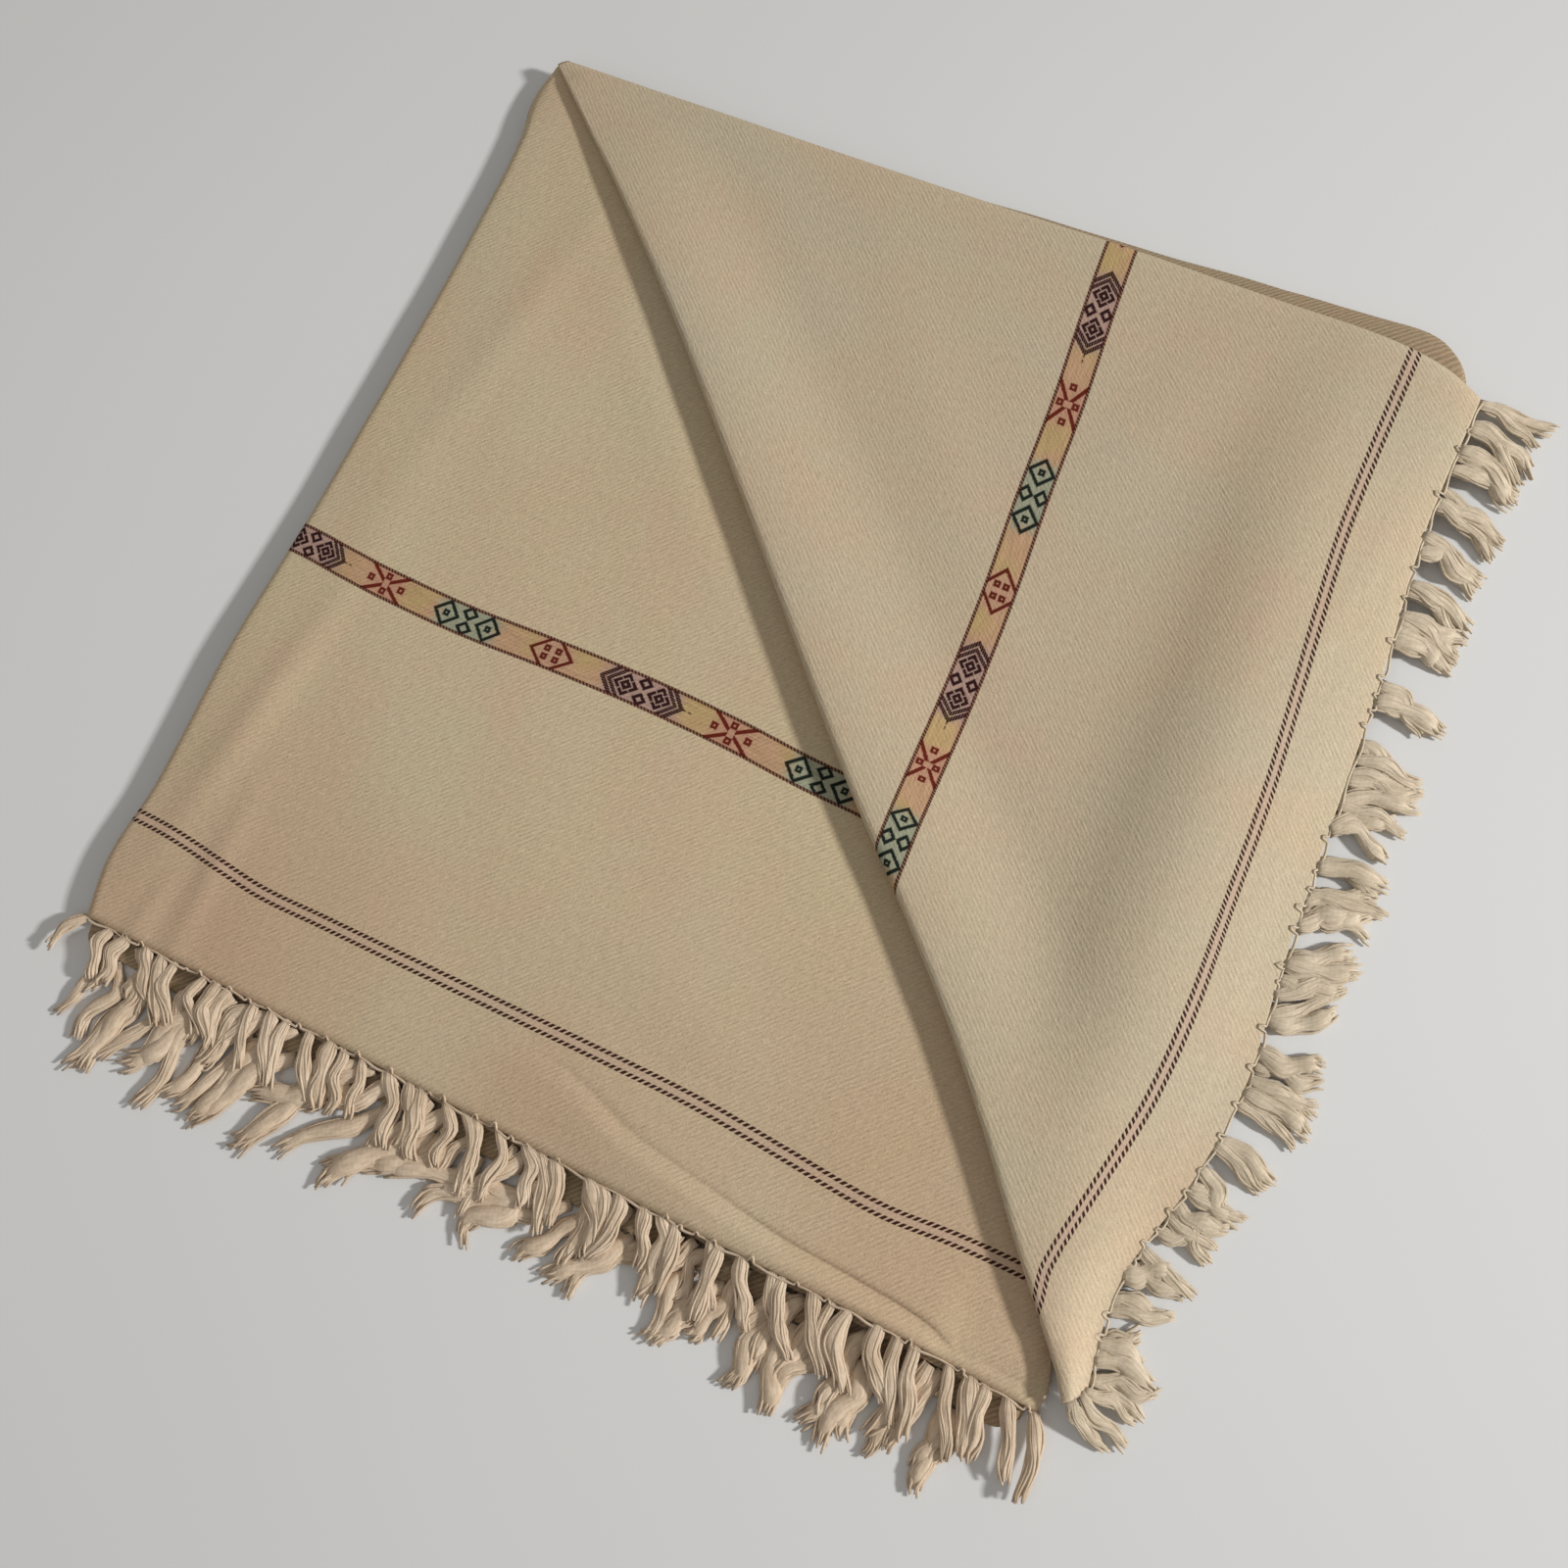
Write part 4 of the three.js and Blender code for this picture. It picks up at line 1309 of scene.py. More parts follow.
@dataclass(frozen=True)
class TurnedCorner:
    """The top layer: its lower leaf, the soft fold along the diagonal, and the corner turned over it."""

    lie: Lie
    thickness: float = 1.1
    rows_above: int = 92
    rows_below: int = 100
    lower_steps: int = 10
    fold_steps: int = 16
    upper_steps: int = 96
    start: float = 4.0
    end: float = 915.0
    tries: int = 6
    settle: float = 80.0
    inset: float = 30.0
    least_leaf: float = 1.5
    leaf_gap: float = 1.9
    leaf_free: float = 9.0
    leaf_zone: tuple[float, float] = (20.0, 60.0)
    crest_height: float = 0.45
    node: str = "top_layer_turned_corner"
    corner: tuple[float, float] = (317.5, 318.0)
    out: Curve = Curve((
        (0, -9), (60, -4), (122, 1.5), (223, 7), (373, 9), (554, 10),
        (640, 15), (707, 17), (770, 15), (830, 10.5), (898, 7.5), (916, 4.5),
    ))
    radius: Curve = Curve((
        (0, 0.8), (60, 1.9), (122, 3.4), (223, 5), (373, 5.4), (554, 5.4),
        (640, 5.4), (707, 5.2), (770, 4.8), (830, 4.4), (898, 4), (916, 3.6),
    ))
    stripe: Curve = Curve((
        (-330, 296), (-277, 292), (-258, 289), (-210, 296), (-155, 304), (-99, 305),
        (-36, 301), (43, 295), (142, 282), (211, 274.5), (345, 270.5),
    ))
    band: Curve = Curve((
        (-330, 135), (-80, 115), (-31, 112.5), (25, 110), (86, 105.5),
        (151, 98.5), (215, 93), (280, 85), (345, 78),
    ))
    motifs: Curve = Curve((
        (-330, 636), (-80, 386), (-31, 324), (25, 262), (86, 200),
        (151, 138), (215, 76), (280, 14), (345, -48),
    ))
    band_half: float = 13.0
    ridge: Curve = Curve(((0, 0), (30, 0.9), (62, 3.4), (78, 4.2), (96, 3.6), (122, 0.9), (150, 0), (700, 0)))
    ridge_share: Curve = Curve(((-320, 0.35), (-240, 0.8), (-120, 1.1), (60, 1.15), (200, 0.8), (320, 0.25)))
    creases: tuple[Swell, ...] = (
        Swell(40, 150, 150, 24, -50, 1.0),
        Swell(-120, 250, 130, 24, -40, 0.8),
        Swell(150, -90, 130, 22, -56, 0.9),
        Swell(150, 230, 90, 26, 70, 0.9),
        Swell(292, 150, 60, 9, 84, 0.5),
    )

    def places(self) -> tuple[Array, float]:
        """Places of the rows along the diagonal.

        Returns:
            The places, and the place of the far corner among them.
        """
        corner = (self.corner[0] - self.corner[1] + 2 * HALF) / ROOT2
        above = lerp(self.start, corner, spread(self.rows_above))
        below = lerp(corner, self.end, spread(self.rows_below))[1:]
        return np.concatenate([above, below]), corner

    def reach(self, along: Array, corner: float) -> Array:
        """Distance from the diagonal to the free edge, found by going back to the edge's curve a few times.

        Args:
            along: places along the diagonal.
            corner: the far corner's place, where the top edge ends and the fringed one begins.

        Returns:
            The distance at each place.
        """
        off = np.minimum(along, self.end - along)
        for _ in range(self.tries):
            x, y = on_diagonal(along, off)
            to_top = (FLAP_TOP_EDGE(x) - HALF) * ROOT2 + along
            to_side = (FLAP_FRINGE(y) + HALF) * ROOT2 - along
            off = np.where(along <= corner + TINY, to_top, to_side)
        return off

    def grid(self) -> tuple[Array, Array]:
        """Points of the middle surface, and the plan positions that its weave has if laid flat.

        A row runs from the lower leaf's edge to the fold, round half of a drop whose crest lies high, and
        out to the free edge. The lower leaf stays below the turned corner's surface. Laid flat, what lies
        below the crest goes on past it by its own length.

        Returns:
            The points, rows by columns by three, and the flat positions, rows by columns by two.
        """
        along, corner = self.places()
        along = along[:, None]
        radius = self.radius(along)
        axis = self.out(along) + radius
        reach = self.reach(along, corner)
        lower_reach = np.maximum(reach - self.inset, axis + self.least_leaf)
        foot_x, foot_y = on_diagonal(along, axis)
        foot = self.lie.lower_leaf(foot_x, foot_y)
        share = (np.arange(self.lower_steps) / self.lower_steps)[None, :] ** 3
        lower_off = lerp(lower_reach, axis, share)
        lower_x, lower_y = on_diagonal(along, lower_off)
        free = self.leaf_free * (1.0 - smoothstep(lower_off - axis, *self.leaf_zone))
        roof = self.surface(lower_x, lower_y) - self.leaf_gap + free
        lower_z = np.minimum(self.lie.lower_leaf(lower_x, lower_y), roof)
        lower_flat = 2 * axis - math.pi * radius - lower_off
        turn = math.pi * np.arange(self.fold_steps)[None, :] / self.fold_steps
        fold_off = axis - radius * np.sin(turn)
        fold_z = foot + 2 * radius * ((1.0 - np.cos(turn)) / 2) ** self.crest_height
        fold_flat = axis - radius * (math.pi - turn)
        upper_off = lerp(axis, reach, spread(self.upper_steps)[None, :])
        upper_x, upper_y = on_diagonal(along, upper_off)
        settled = smoothstep(upper_off - axis, 0.0, np.minimum(self.settle, reach - axis))
        upper_z = lerp(foot + 2 * radius, self.lie.upper_leaf(upper_x, upper_y), settled)
        upper_z = upper_z + settled * self.soft_folds(upper_x, upper_y)
        off = np.concatenate([lower_off, fold_off, upper_off], 1)
        x, y = on_diagonal(along, off)
        z = np.concatenate([lower_z, fold_z, upper_z], 1)
        flat = on_diagonal(along, np.concatenate([lower_flat, fold_flat, upper_off], 1))
        return np.stack([x, y, z], 2), np.stack(flat, 2)

    def soft_folds(self, x: Array, y: Array) -> Array:
        """What the ridge along the stripe and the small folds add to the turned corner's height."""
        ridge = self.ridge(FLAP_FRINGE(y) - x) * self.ridge_share(y)
        return ridge + sum(crease.height(x, y) for crease in self.creases)

    def surface(self, x: Array, y: Array) -> Array:
        """Height of the turned corner's middle surface near its fringed edge."""
        return self.lie.upper_leaf(x, y) + self.soft_folds(x, y)

    def pattern(self, x: Array, y: Array) -> Array:
        """Distances along and across the woven pattern: straight between its edge, stripe and band.

        Args:
            x: places in plan.
            y: places in plan.

        Returns:
            Two numbers for each place: along the band, and in from the fringed edge.
        """
        edge, stripe, band = FLAP_FRINGE(y), self.stripe(y), self.band(y)
        half, at_band = self.band_half, REVERSE.band_at
        beside = at_band - half
        near_edge = REVERSE.stripe_at * (edge - x) / (edge - stripe)
        middle = lerp(REVERSE.stripe_at, beside, (stripe - x) / (stripe - band - half))
        over_band = at_band + (band - x)
        beyond = at_band + half + (band - half - x)
        across = np.where(x > stripe, near_edge, np.where(x > band + half, middle, over_band))
        across = np.where(x < band - half, beyond, across)
        return np.stack([self.motifs(y), across], 2)

    def build(self) -> tuple[bpy.types.Object, Array, Array]:
        """Builds and dresses the piece, which replaces the plain solid.

        Returns:
            The object, the points of its fringed edge from the lower corner up, and those of its blunt
            tip from the fold's crest across.
        """
        grid, flat = self.grid()
        x, y = flat[..., 0], flat[..., 1]
        maps = {"Cloth": np.stack([HALF - y, HALF - x], 2), "Pattern": self.pattern(x, y)}
        made = put_sheet("turned_corner_cloth", grid, maps, REVERSE.build(), self.thickness)
        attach(made, "root")
        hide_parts(self.node)
        crest = self.lower_steps + self.fold_steps // 2
        return made, grid[self.rows_above:, -1][::-1], grid[-1, crest:]


@dataclass(frozen=True)
class StrandTable:
    """How a row's strands change along it: length, heading in degrees, sideways bow, and width."""

    rows: tuple[tuple[float, float, float, float, float], ...]

    def column(self, k: int) -> Curve:
        """The smooth curve through one column."""
        return Curve(tuple((row[0], row[k]) for row in self.rows))


@dataclass(frozen=True)
class Tubes:
    """Many closed tubes of one build: their middle lines and their half widths and half heights."""

    lines: Array
    wide: Array
    high: Array
    sides: int

    def mesh(self) -> tuple[Array, Array, Array]:
        """The tubes' arrays.

        A tube's point is its line's point plus wide times cos a of its side vector and high times sin a
        of its up vector.

        Returns:
            Points, faces, and a UV row for each face corner: once round, and millimetres along.
        """
        count, stops = self.lines.shape[:2]
        tangent = np.gradient(self.lines, axis=1)
        tangent /= np.linalg.norm(tangent, axis=2, keepdims=True) + TINY
        side = np.cross(np.array([0.0, 0.0, 1.0]), tangent)
        side /= np.linalg.norm(side, axis=2, keepdims=True) + TINY
        up = np.cross(tangent, side)
        angle = TURN * np.arange(self.sides) / self.sides
        over = side[:, :, None] * (self.wide[..., None] * np.cos(angle))[..., None]
        rise = up[:, :, None] * (self.high[..., None] * np.sin(angle))[..., None]
        walls_points = (self.lines[:, :, None] + over + rise).reshape(-1, 3)
        n, i, a = np.meshgrid(
            np.arange(count), np.arange(stops - 1), np.arange(self.sides), indexing="ij"
        )
        first = (n * stops + i) * self.sides + a
        second = (n * stops + i) * self.sides + (a + 1) % self.sides
        walls = np.stack([first, second, second + self.sides, first + self.sides], -1).reshape(-1, 4)
        steps = np.linalg.norm(np.diff(self.lines, axis=1), axis=2)
        run = np.concatenate([np.zeros((count, 1)), np.cumsum(steps, axis=1)], 1)
        v = np.stack([run[n, i], run[n, i], run[n, i + 1], run[n, i + 1]], -1).reshape(-1, 4)
        u = np.stack([a, a + 1, a + 1, a], -1).reshape(-1, 4) / self.sides
        hubs = len(walls_points) + np.arange(2 * count)
        points = np.vstack([walls_points, self.lines[:, 0], self.lines[:, -1]])
        m, b = np.meshgrid(np.arange(count), np.arange(0, self.sides - 1, 2), indexing="ij")
        root, tip = m * stops * self.sides, (m * stops + stops - 1) * self.sides
        after = (b + 2) % self.sides
        caps = np.concatenate([
            np.stack([hubs[m], root + after, root + b + 1, root + b], -1).reshape(-1, 4),
            np.stack([hubs[m + count], tip + b, tip + b + 1, tip + after], -1).reshape(-1, 4),
        ])
        half = len(caps) // 2
        cap_v = np.concatenate([np.zeros((half, 4)), np.full((half, 4), float(run[:, -1].mean()))])
        corners = np.stack([np.vstack([u, np.zeros((len(caps), 4))]), np.vstack([v, cap_v]) * MM], -1)
        return points, np.vstack([walls, caps]), corners.reshape(-1, 2)


def put_tubes(name: str, sets: Sequence[Tubes], material: bpy.types.Material) -> bpy.types.Object:
    """Makes one object of several sets of tubes.

    Args:
        name: the object's name.
        sets: the sets.
        material: what they are dressed in.

    Returns:
        The object, which rides on the one body.
    """
    points, faces, corners = [], [], []
    count = 0
    for tubes in sets:
        some_points, some_faces, some_corners = tubes.mesh()
        points.append(some_points)
        faces.append(some_faces + count)
        corners.append(some_corners)
        count += len(some_points)
    made = put_mesh(name, np.vstack(points), np.vstack(faces), {"Yarn": np.vstack(corners)}, material)
    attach(made, "root")
    return made


@dataclass(frozen=True)
class YarnBuild:
    """How the fine yarns of a strand lie round its core, and how they end.

    The three place steps keep the draws of two strands, two yarns and two rows apart.
    """

    count: int = 7
    radius: float = 0.95
    root_narrow: float = 0.2
    root_zone: tuple[float, float] = (0.0, 0.2)
    tip_narrow: float = 0.3
    tip_zone: tuple[float, float] = (0.9, 1.0)
    place_steps: tuple[float, float, float] = (17.0, 3.1, 7.7)
    place_scatter: float = 0.6
    past_side: float = 0.3
    twist: float = 1.3
    twist_centre: float = 0.3
    fan_zone: tuple[float, float] = (0.66, 1.08)
    fan_narrow: float = 0.12
    fan_out: float = 1.4
    fan_drop: float = 0.5
    wander: float = 0.8
    wander_turns: float = 1.4
    wander_zone: tuple[float, float] = (0.05, 0.5)
    bob: float = 0.22
    bob_turns: float = 1.1
    short_share: float = 0.1

    def thickness(self, t: Array) -> Array:
        """A yarn's radius, by the share of its length from root to tip."""
        taper = self.radius * (1.0 - self.root_narrow + self.root_narrow * smoothstep(t, *self.root_zone))
        return taper * (1.0 - self.tip_narrow * smoothstep(t, *self.tip_zone))


@dataclass(frozen=True)
class FringeRow:
    """A row of strands along an edge, each a loose flat bundle of fine yarns over a plain core."""

    name: str
    table: StrandTable
    count: int
    tip_height: float
    node: str = ""
    seed: float = 0.0
    yarn: YarnBuild = YarnBuild()
    stops: int = 13
    core_sides: int = 10
    core_reach: float = 0.93
    core_inset: float = 0.1
    core_close: tuple[float, float] = (0.8, 1.0)
    core_end: float = 0.02
    core_least: float = 0.9
    flatness: float = 0.46
    least_rise: float = 0.6
    floor_gap: float = 0.1
    sway: float = 1.35
    wave: float = 2.2
    waves: float = 1.5
    wave_zone: tuple[float, float] = (0.0, 0.5)
    curl_middle: float = 0.7
    curl_scatter: float = 0.5
    hook: float = 4.0
    gap: float = 1.65
    tuck: float = 3.6
    sunk: float = 1.5
    sink_power: float = 1.4
    clump: float = 0.2
    clump_turn: float = 6.0
    clump_every: float = 3.1
    clump_drift: float = 1.6
    drift_every: float = 5.3
    end_share: float = 0.006
    end_margin: float = 3.0
    place_scatter: float = 0.2
    heading_scatter: float = 9.0
    length_scatter: float = 6.0
    width_scatter: float = 0.3
    phase_scatter: float = 2.6
    lift: float = 1.2
    root_narrow: float = 0.3
    root_zone: tuple[float, float] = (0.0, 0.22)
    tip_narrow: float = 0.16
    tip_zone: tuple[float, float] = (0.55, 0.95)
    belly_swell: float = 0.14
    belly_turns: float = 1.6
    belly_scatter: float = 3.0

    def centre_lines(self, edge: EdgeLine) -> tuple[Array, Array]:
        """Each strand's middle line.

        It runs straight ahead for its length, bows sideways by curl times sin(pi sway t), by a smaller
        wave of one and a half turns and by hook times t cubed, and sinks to its tip's height by
        sin(pi t / 2) to the power of 1.4. A sine along the row draws roots and tips together in loose
        clumps.

        Args:
            edge: the edge that the row hangs on.

        Returns:
            The lines, strands by stops by three, and each strand's sideways direction.
        """
        k = np.arange(self.count)
        place = lerp(self.end_share, 1.0 - self.end_share, k / (self.count - 1))
        length_of_edge = edge.run()[-1]
        drift = self.clump_drift * np.sin(k / self.drift_every + self.seed)
        bunch = np.sin(TURN * k / self.clump_every + drift)
        jitter = self.place_scatter * scatter(k, Draw.PLACE, self.seed) + self.clump * bunch
        jitter = jitter * length_of_edge / self.count
        at = np.clip(place * length_of_edge + jitter, self.end_margin, length_of_edge - self.end_margin)
        root, head = edge.at(at), edge.heading(at)
        straight = np.stack([head[:, 1], -head[:, 0]], 1)
        lean = self.heading_scatter * scatter(k, Draw.HEADING, self.seed) + self.clump_turn * bunch
        turn = np.radians(self.table.column(2)(place) + lean)
        ahead = straight * np.cos(turn)[:, None] + head * np.sin(turn)[:, None]
        side = np.stack([-ahead[:, 1], ahead[:, 0]], 1)
        length = self.table.column(1)(place) + self.length_scatter * scatter(k, Draw.LENGTH, self.seed)
        curl_share = self.curl_middle + self.curl_scatter * scatter(k, Draw.CURL, self.seed)
        curl = self.table.column(3)(place) * curl_share
        t = np.linspace(0.0, 1.0, self.stops)[None, :]
        phase = self.phase_scatter * scatter(k, Draw.PHASE, self.seed)[:, None]
        bow = curl[:, None] * np.sin(math.pi * self.sway * t)
        wave = self.wave * scatter(k, Draw.WAVE, self.seed)[:, None]
        swing = np.sin(TURN * self.waves * t + phase) - np.sin(phase)
        bow = bow + wave * swing * smoothstep(t, *self.wave_zone)
        bow = bow + self.hook * scatter(k, Draw.HOOK, self.seed)[:, None] * t ** 3
        start = root[:, :2] + straight * (self.gap - self.tuck)
        plan = start[:, None] + ahead[:, None] * (length[:, None] * t + self.tuck * 0.5)[..., None]
        plan = plan + side[:, None] * bow[..., None]
        lift = self.lift * (0.5 + 0.5 * scatter(k, Draw.LIFT, self.seed))[:, None]
        sink = np.sin(math.pi * t / 2) ** self.sink_power
        z = lerp(root[:, 2][:, None] - self.sunk, self.tip_height, sink) + lift * np.sin(math.pi * t) ** 2
        return np.concatenate([plan, z[..., None]], 2), side

    def widths(self) -> Array:
        """The strands' half widths: narrow at the root, and a little narrower at the blunt tip.

        Returns:
            Half widths, strands by stops.
        """
        k = np.arange(self.count)
        place = k / (self.count - 1)
        t = np.linspace(0.0, 1.0, self.stops)[None, :]
        wide = self.table.column(4)(place) * (1.0 + self.width_scatter * scatter(k, Draw.WIDTH, self.seed))
        belly = 1.0 - self.root_narrow + self.root_narrow * smoothstep(t, *self.root_zone)
        belly = belly - self.tip_narrow * smoothstep(t, *self.tip_zone)
        phase = self.belly_scatter * scatter(k, Draw.SWELL, self.seed)[:, None]
        swell = 1.0 + self.belly_swell * np.sin(TURN * t * self.belly_turns + phase)
        return wide[:, None] / 2 * belly * swell

    def core(self, lines: Array) -> Tubes:
        """The cores, flat ovals a little inside the yarns, which close before the tips.

        Args:
            lines: the strands' middle lines.

        Returns:
            One tube for each strand.
        """
        t = np.linspace(0.0, 1.0, self.stops)[None, :]
        close = np.sqrt(np.clip(1.0 - smoothstep(t, *self.core_close), self.core_end, 1.0))
        wide = (self.widths() - self.core_inset) * close
        shrunk = lines[:, :1] + (lines - lines[:, :1]) * self.core_reach
        high = np.maximum(self.widths() * self.flatness + self.least_rise, self.core_least) * close
        shrunk[..., 2] = np.maximum(shrunk[..., 2], high + self.floor_gap)
        return Tubes(shrunk, wide, high, self.core_sides)

    def yarn_lines(self, lines: Array, side: Array) -> Array:
        """The middle line of every yarn.

        A yarn keeps its place on the upper part of its bundle's oval section, wanders a little, fans out
        near the tip, and ends at a length of its own.

        Args:
            lines: the strands' middle lines.
            side: each strand's sideways direction.

        Returns:
            The lines, strands times yarns by stops by three.
        """
        yarn = self.yarn
        t = np.linspace(0.0, 1.0, self.stops)[None, None, :]
        k = np.arange(self.count)[:, None, None]
        j = np.arange(yarn.count)[None, :, None]
        strand_step, yarn_step, seed_step = yarn.place_steps
        place = k * strand_step + j * yarn_step + self.seed * seed_step
        angle = (j + yarn.place_scatter * scatter(place, Draw.YARN_PLACE)) / (yarn.count - 1)
        angle = lerp(-yarn.past_side, math.pi + yarn.past_side, angle)
        angle = angle + yarn.twist * scatter(k, Draw.TWIST, self.seed) * (t - yarn.twist_centre)
        wide = self.widths()[:, None, :]
        over = np.cos(angle) * wide
        rise = np.sin(angle) * np.maximum(wide * self.flatness, self.least_rise)
        fan = smoothstep(t, *yarn.fan_zone)
        over = over * (1.0 - yarn.fan_narrow * fan) + yarn.fan_out * scatter(place, Draw.FAN) * fan
        swing = np.sin(TURN * (yarn.wander_turns * t + scatter(place, Draw.WANDER)))
        over = over + yarn.wander * swing * smoothstep(t, *yarn.wander_zone)
        bob = yarn.bob * np.sin(TURN * (yarn.bob_turns * t + scatter(place, Draw.BOB)))
        rise = rise + bob * t - yarn.fan_drop * fan
        reach = t * (1.0 - yarn.short_share * (0.5 + 0.5 * scatter(place, Draw.YARN_LENGTH)))
        index = reach * (self.stops - 1)
        low = np.clip(np.floor(index).astype(int), 0, self.stops - 2)
        rows = np.broadcast_to(k, low.shape)
        base = lerp(lines[rows, low], lines[rows, low + 1], (index - low)[..., None])
        across = np.concatenate([side, np.zeros((self.count, 1))], 1)[:, None, None]
        points = base + across * over[..., None]
        points[..., 2] = np.maximum(points[..., 2] + rise, yarn.radius + self.floor_gap)
        return points.reshape(self.count * yarn.count, self.stops, 3)

    def build(self, edge: EdgeLine, material: bpy.types.Material) -> bpy.types.Object:
        """Builds and dresses the row.

        Args:
            edge: the edge that it hangs on.
            material: the yarn's material.

        Returns:
            The object.
        """
        lines, side = self.centre_lines(edge)
        yarns = self.yarn_lines(lines, side)
        thick = np.broadcast_to(self.yarn.thickness(np.linspace(0.0, 1.0, self.stops)), yarns.shape[:2])
        made = put_tubes(self.name, [self.core(lines), Tubes(yarns, thick, thick, YARN_SIDES)], material)
        if self.node:
            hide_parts(self.node)
        return made


@dataclass(frozen=True)
class EdgeThread:
    """The fine thread along a fringed edge, with a pointed stitch into the cloth once a pitch."""

    name: str
    stitch: float
    free: float = 1.5
    pitch: float = 11.0
    radius: float = 0.82
    steps: int = 16
    end_gap: float = 1.0
    heading_span: float = 3.0
    drift: tuple[float, float] = (0.3, 0.2)
    drift_lengths: tuple[float, float] = (37.0, 13.0)
    made_above: float = -0.1
    size_middle: float = 0.75
    size_scatter: float = 0.5
    sharpness: float = 6.0
    wander: float = 0.8
    wander_lengths: tuple[float, float] = (4.7, 17.0)
    slip: float = 1.2
    over_middle: float = 0.55
    radius_share: float = 0.6
    inward_zone: tuple[float, float] = (-0.4, 1.2)
    edge_drop: float = 0.1

    def build(
        self, edge: EdgeLine, surface: Callable[[Array, Array], Array], material: bpy.types.Material,
    ) -> bpy.types.Object:
        """Builds the thread.

        It wanders a little outside the edge, and steps in over the cloth at about half of its pitches, by
        stitch times a power of the positive half of a cosine, so that each stitch is narrow. Two slow
        sines keep the stitches from lying at even steps.

        Args:
            edge: the edge that it follows.
            surface: gives the height of the cloth's middle surface in plan.
            material: the yarn's material.

        Returns:
            The object.
        """
        length = edge.run()[-1]
        s = np.linspace(self.end_gap, length - self.end_gap, int(length / self.pitch * self.steps))
        line, head = edge.at(s), edge.heading(s, self.heading_span)
        phase = s / self.pitch
        for drift, drift_length in zip(self.drift, self.drift_lengths):
            phase = phase + drift * np.sin(s / drift_length)
        which = np.floor(phase + 0.5)
        made_here = scatter(which, Draw.STITCH_MADE) > self.made_above
        size = (self.size_middle + self.size_scatter * scatter(which, Draw.STITCH_SIZE)) * made_here
        peak = np.clip(np.cos(TURN * phase), 0.0, 1.0) ** self.sharpness
        short, long = self.wander_lengths
        outward = self.free + self.wander * np.sin(s / short + np.sin(s / long))
        outward = outward - (self.stitch + self.free) * size * peak
        slip = self.slip * size * peak * np.sin(TURN * phase * 2.0)
        line[:, 0] += head[:, 1] * outward + head[:, 0] * slip
        line[:, 1] += -head[:, 0] * outward + head[:, 1] * slip
        on_cloth = surface(line[:, 0], line[:, 1]) + self.over_middle + self.radius * self.radius_share
        inward = 1.0 - smoothstep(outward, *self.inward_zone)
        line[:, 2] = lerp(line[:, 2] - self.edge_drop, np.maximum(line[:, 2], on_cloth), inward)
        radius = np.full((1, len(s)), self.radius)
        return put_tubes(self.name, [Tubes(line[None], radius, radius, YARN_SIDES)], material)


SECOND_STRANDS = StrandTable((
    (0, 40, -46, -7, 4.5), (0.03, 38, 8, -4, 7), (0.2, 42, 12, -5, 7.4), (0.4, 44, 20, 4, 7.8),
    (0.6, 42, 20, 4, 7.8), (0.8, 46, 20, -5, 8), (1, 48, 16, 4, 7.6),
))
LOWER_STRANDS = StrandTable((
    (0, 36, 30, 4, 8.6), (0.05, 64, -8, 5, 9.8), (0.13, 73, -32, -6, 10.2), (0.25, 73, -40, -7, 10),
    (0.4, 68, -42, 6, 9.8), (0.55, 58, -40, 6, 9.6), (0.72, 50, -32, -5, 9.4), (0.88, 51, -8, 4, 9.4),
    (1, 48, 2, 3, 9),
))
MIDDLE_STRANDS = StrandTable((
    (0, 40, 4, 6, 8), (0.25, 50, -32, -6, 9), (0.5, 48, -26, 6, 9), (0.75, 44, -18, -6, 9), (1, 46, 6, 4, 8),
))
CORNER_STRANDS = StrandTable((
    (0, 40, -26, 2, 8), (0.05, 32, 20, 3, 9), (0.16, 34, 6, -3, 9.6), (0.24, 36, -20, 4, 9.6),
    (0.34, 40, 18, -3, 9.4), (0.52, 42, 14, 3, 9.4), (0.64, 40, -6, 5, 9.6), (0.84, 42, -13, 5, 9.8),
    (1, 50, -16, 5, 10.4),
))
TIP_STRANDS = StrandTable(((0, 26, 4, 2, 6.5), (0.5, 34, 12, -3, 6.5), (1, 30, 44, 2, 6)))


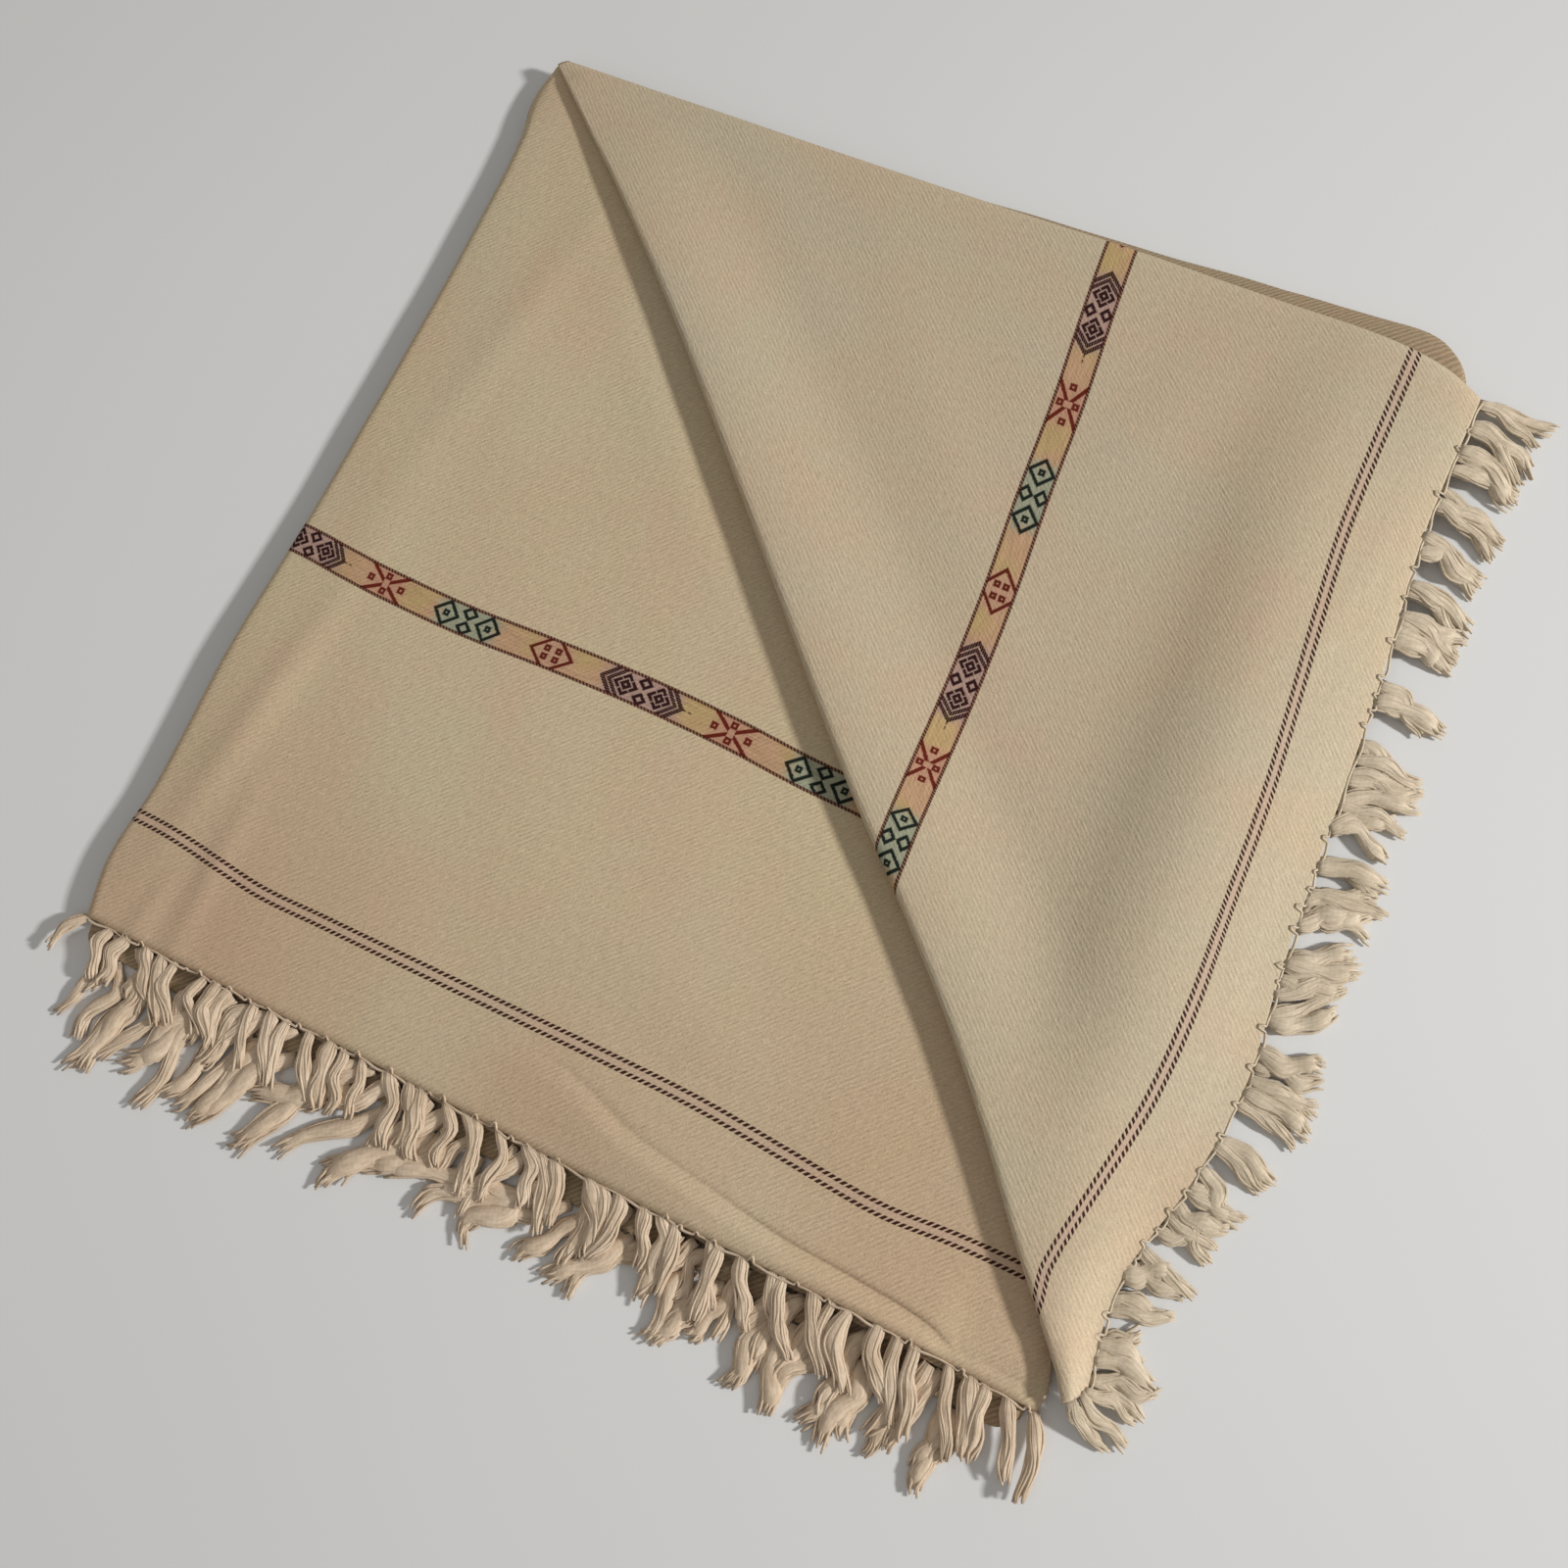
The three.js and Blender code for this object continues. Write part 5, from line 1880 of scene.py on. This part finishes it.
@dataclass
class Studio:
    """The pale floor, the soft light and the camera at the photograph's angle."""

    focal: float = 36.0
    sensor: float = 36.0
    position: tuple[float, float, float] = (0.2298, -0.2296, 0.9194)
    right: tuple[float, float, float] = (0.8912, 0.4392, -0.1135)
    up: tuple[float, float, float] = (-0.4052, 0.8832, 0.2360)
    ahead: tuple[float, float, float] = (-0.2039, 0.1643, -0.9651)
    floor_size: float = 7.0
    floor_drop: float = 0.0003
    sun_azimuth: float = 16.0
    sun_elevation: float = 26.0
    sun_distance: float = 5.0
    sun_size: float = 0.42
    sun_power: float = 40.0
    sun_spread: float = 76.0
    fill_place: tuple[float, float, float] = (-0.6, -1.0, 1.8)
    fill_size: float = 1.6
    fill_power: float = 2.0
    clip: tuple[float, float] = (0.02, 50.0)
    sky: Colour = (1.0, 0.97, 0.935)
    sky_strength: float = 0.3
    finish: PlainFinish = field(default_factory=lambda: PlainFinish("pale_floor", linear(228, 228, 227)))

    def camera(self) -> bpy.types.Object:
        """Places the camera, whose axes are worked out for the square frame.

        Returns:
            The camera.
        """
        data = bpy.data.cameras.new("camera")
        data.lens, data.sensor_width = self.focal, self.sensor
        data.clip_start, data.clip_end = self.clip
        made = bpy.data.objects.new("camera", data)
        back = [-a for a in self.ahead]
        turn = Matrix((self.right, self.up, back)).transposed().to_4x4()
        turned = turn.to_quaternion().to_matrix().to_4x4()
        made.matrix_world = Matrix.Translation(self.position) @ turned
        bpy.context.scene.collection.objects.link(made)
        bpy.context.scene.camera = made
        return made

    def lamp(self, name: str, place: Sequence[float], size: float, power: float) -> bpy.types.Object:
        """Adds a square lamp that faces the shawl.

        Args:
            name: its name.
            place: where it hangs.
            size: its side.
            power: its power in watts.

        Returns:
            The lamp.
        """
        data = bpy.data.lights.new(name, "AREA")
        data.size, data.energy = size, power
        made = bpy.data.objects.new(name, data)
        made.location = place
        made.rotation_mode = "QUATERNION"
        made.rotation_quaternion = (-Vector(place)).to_track_quat("-Z", "Y")
        bpy.context.scene.collection.objects.link(made)
        return made

    def build(self) -> None:
        """Makes the floor, the sky, the lamps and the camera."""
        half = self.floor_size / 2 / MM
        corners = np.array([[-half, -half, 0], [half, -half, 0], [half, half, 0], [-half, half, 0]], float)
        corners[:, 2] = -self.floor_drop / MM
        floor = put_mesh("floor", corners, np.array([[0, 1, 2, 3]]), {}, self.finish.build())
        world = bpy.data.worlds.new("sky")
        world.use_nodes = True
        background = world.node_tree.nodes["Background"]
        background.inputs[0].default_value = (*self.sky, 1.0)
        background.inputs[1].default_value = self.sky_strength
        bpy.context.scene.world = world
        turn, rise = math.radians(self.sun_azimuth), math.radians(self.sun_elevation)
        towards = (math.cos(turn) * math.cos(rise), math.sin(turn) * math.cos(rise), math.sin(rise))
        sun = self.lamp("sun", [self.sun_distance * a for a in towards], self.sun_size, self.sun_power)
        sun.data.spread = math.radians(self.sun_spread)
        self.lamp("fill", self.fill_place, self.fill_size, self.fill_power)
        self.camera()
        bpy.context.scene.view_settings.view_transform = "Standard"


def main() -> None:
    """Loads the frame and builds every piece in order."""
    logging.basicConfig(level=logging.INFO, format="%(message)s")
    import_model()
    lie = Lie()
    Studio().build()
    hidden = HiddenLayers(lie)
    stack = hidden.build()
    second = SecondLayer(lie)
    second_cloth = second.build()
    corner = TurnedCorner(lie)
    corner_cloth, corner_points, tip_points = corner.build()
    yarn, pale_yarn = YARN.build(), PALE_YARN.build()
    second_edge = EdgeLine(second.grid()[-1])
    corner_edge = EdgeLine(corner_points)
    lower_edge, middle_edge = hidden.fringe_edge(lip=0, level=1.9), hidden.fringe_edge(lip=1, level=4.6)
    upper_row = FringeRow(
        "fringe_upper", SECOND_STRANDS, count=48, tip_height=6.6, node="fringe_second_layer", lift=2.2,
    ).build(second_edge, yarn)
    FringeRow(
        "fringe_lower", LOWER_STRANDS, count=48, tip_height=1.9, node="fringe_lower_layers", seed=5.0,
        sunk=0.0, sway=1.8, tuck=2.2, heading_scatter=14.0, length_scatter=9.0, wave=3.0, hook=8.0,
        clump=0.4, clump_turn=14.0, clump_every=4.5,
    ).build(lower_edge, yarn)
    FringeRow(
        "fringe_middle", MIDDLE_STRANDS, count=34, tip_height=3.6, seed=3.0,
        sunk=0.0, sway=1.7, tuck=2.2, heading_scatter=16.0, length_scatter=8.0, wave=3.0, hook=8.0,
        clump=0.3, clump_turn=12.0, clump_every=3.7,
    ).build(middle_edge, yarn)
    corner_row = FringeRow(
        "fringe_corner", CORNER_STRANDS, count=46, tip_height=1.9, node="fringe_turned_corner", seed=1.0,
        place_scatter=0.25, clump=0.4, clump_turn=13.0, clump_every=3.7, hook=6.0,
    ).build(corner_edge, pale_yarn)
    FringeRow(
        "fringe_corner_under", CORNER_STRANDS, count=26, tip_height=1.9, seed=7.0,
        sunk=2.6, place_scatter=0.3, clump=0.4, clump_turn=16.0, clump_every=3.3, hook=8.0, wave=3.0,
    ).build(corner_edge, pale_yarn)
    FringeRow(
        "fringe_tip", TIP_STRANDS, count=4, tip_height=1.9, seed=9.0,
        place_scatter=0.1, clump=0.0, clump_turn=0.0,
    ).build(EdgeLine(tip_points), pale_yarn)
    second_thread = EdgeThread("edge_thread_upper", stitch=1.6).build(second_edge, second.surface, yarn)
    corner_thread = EdgeThread("edge_thread_corner", stitch=3.0).build(corner_edge, corner.surface, pale_yarn)


if __name__ == "__main__":
    main()
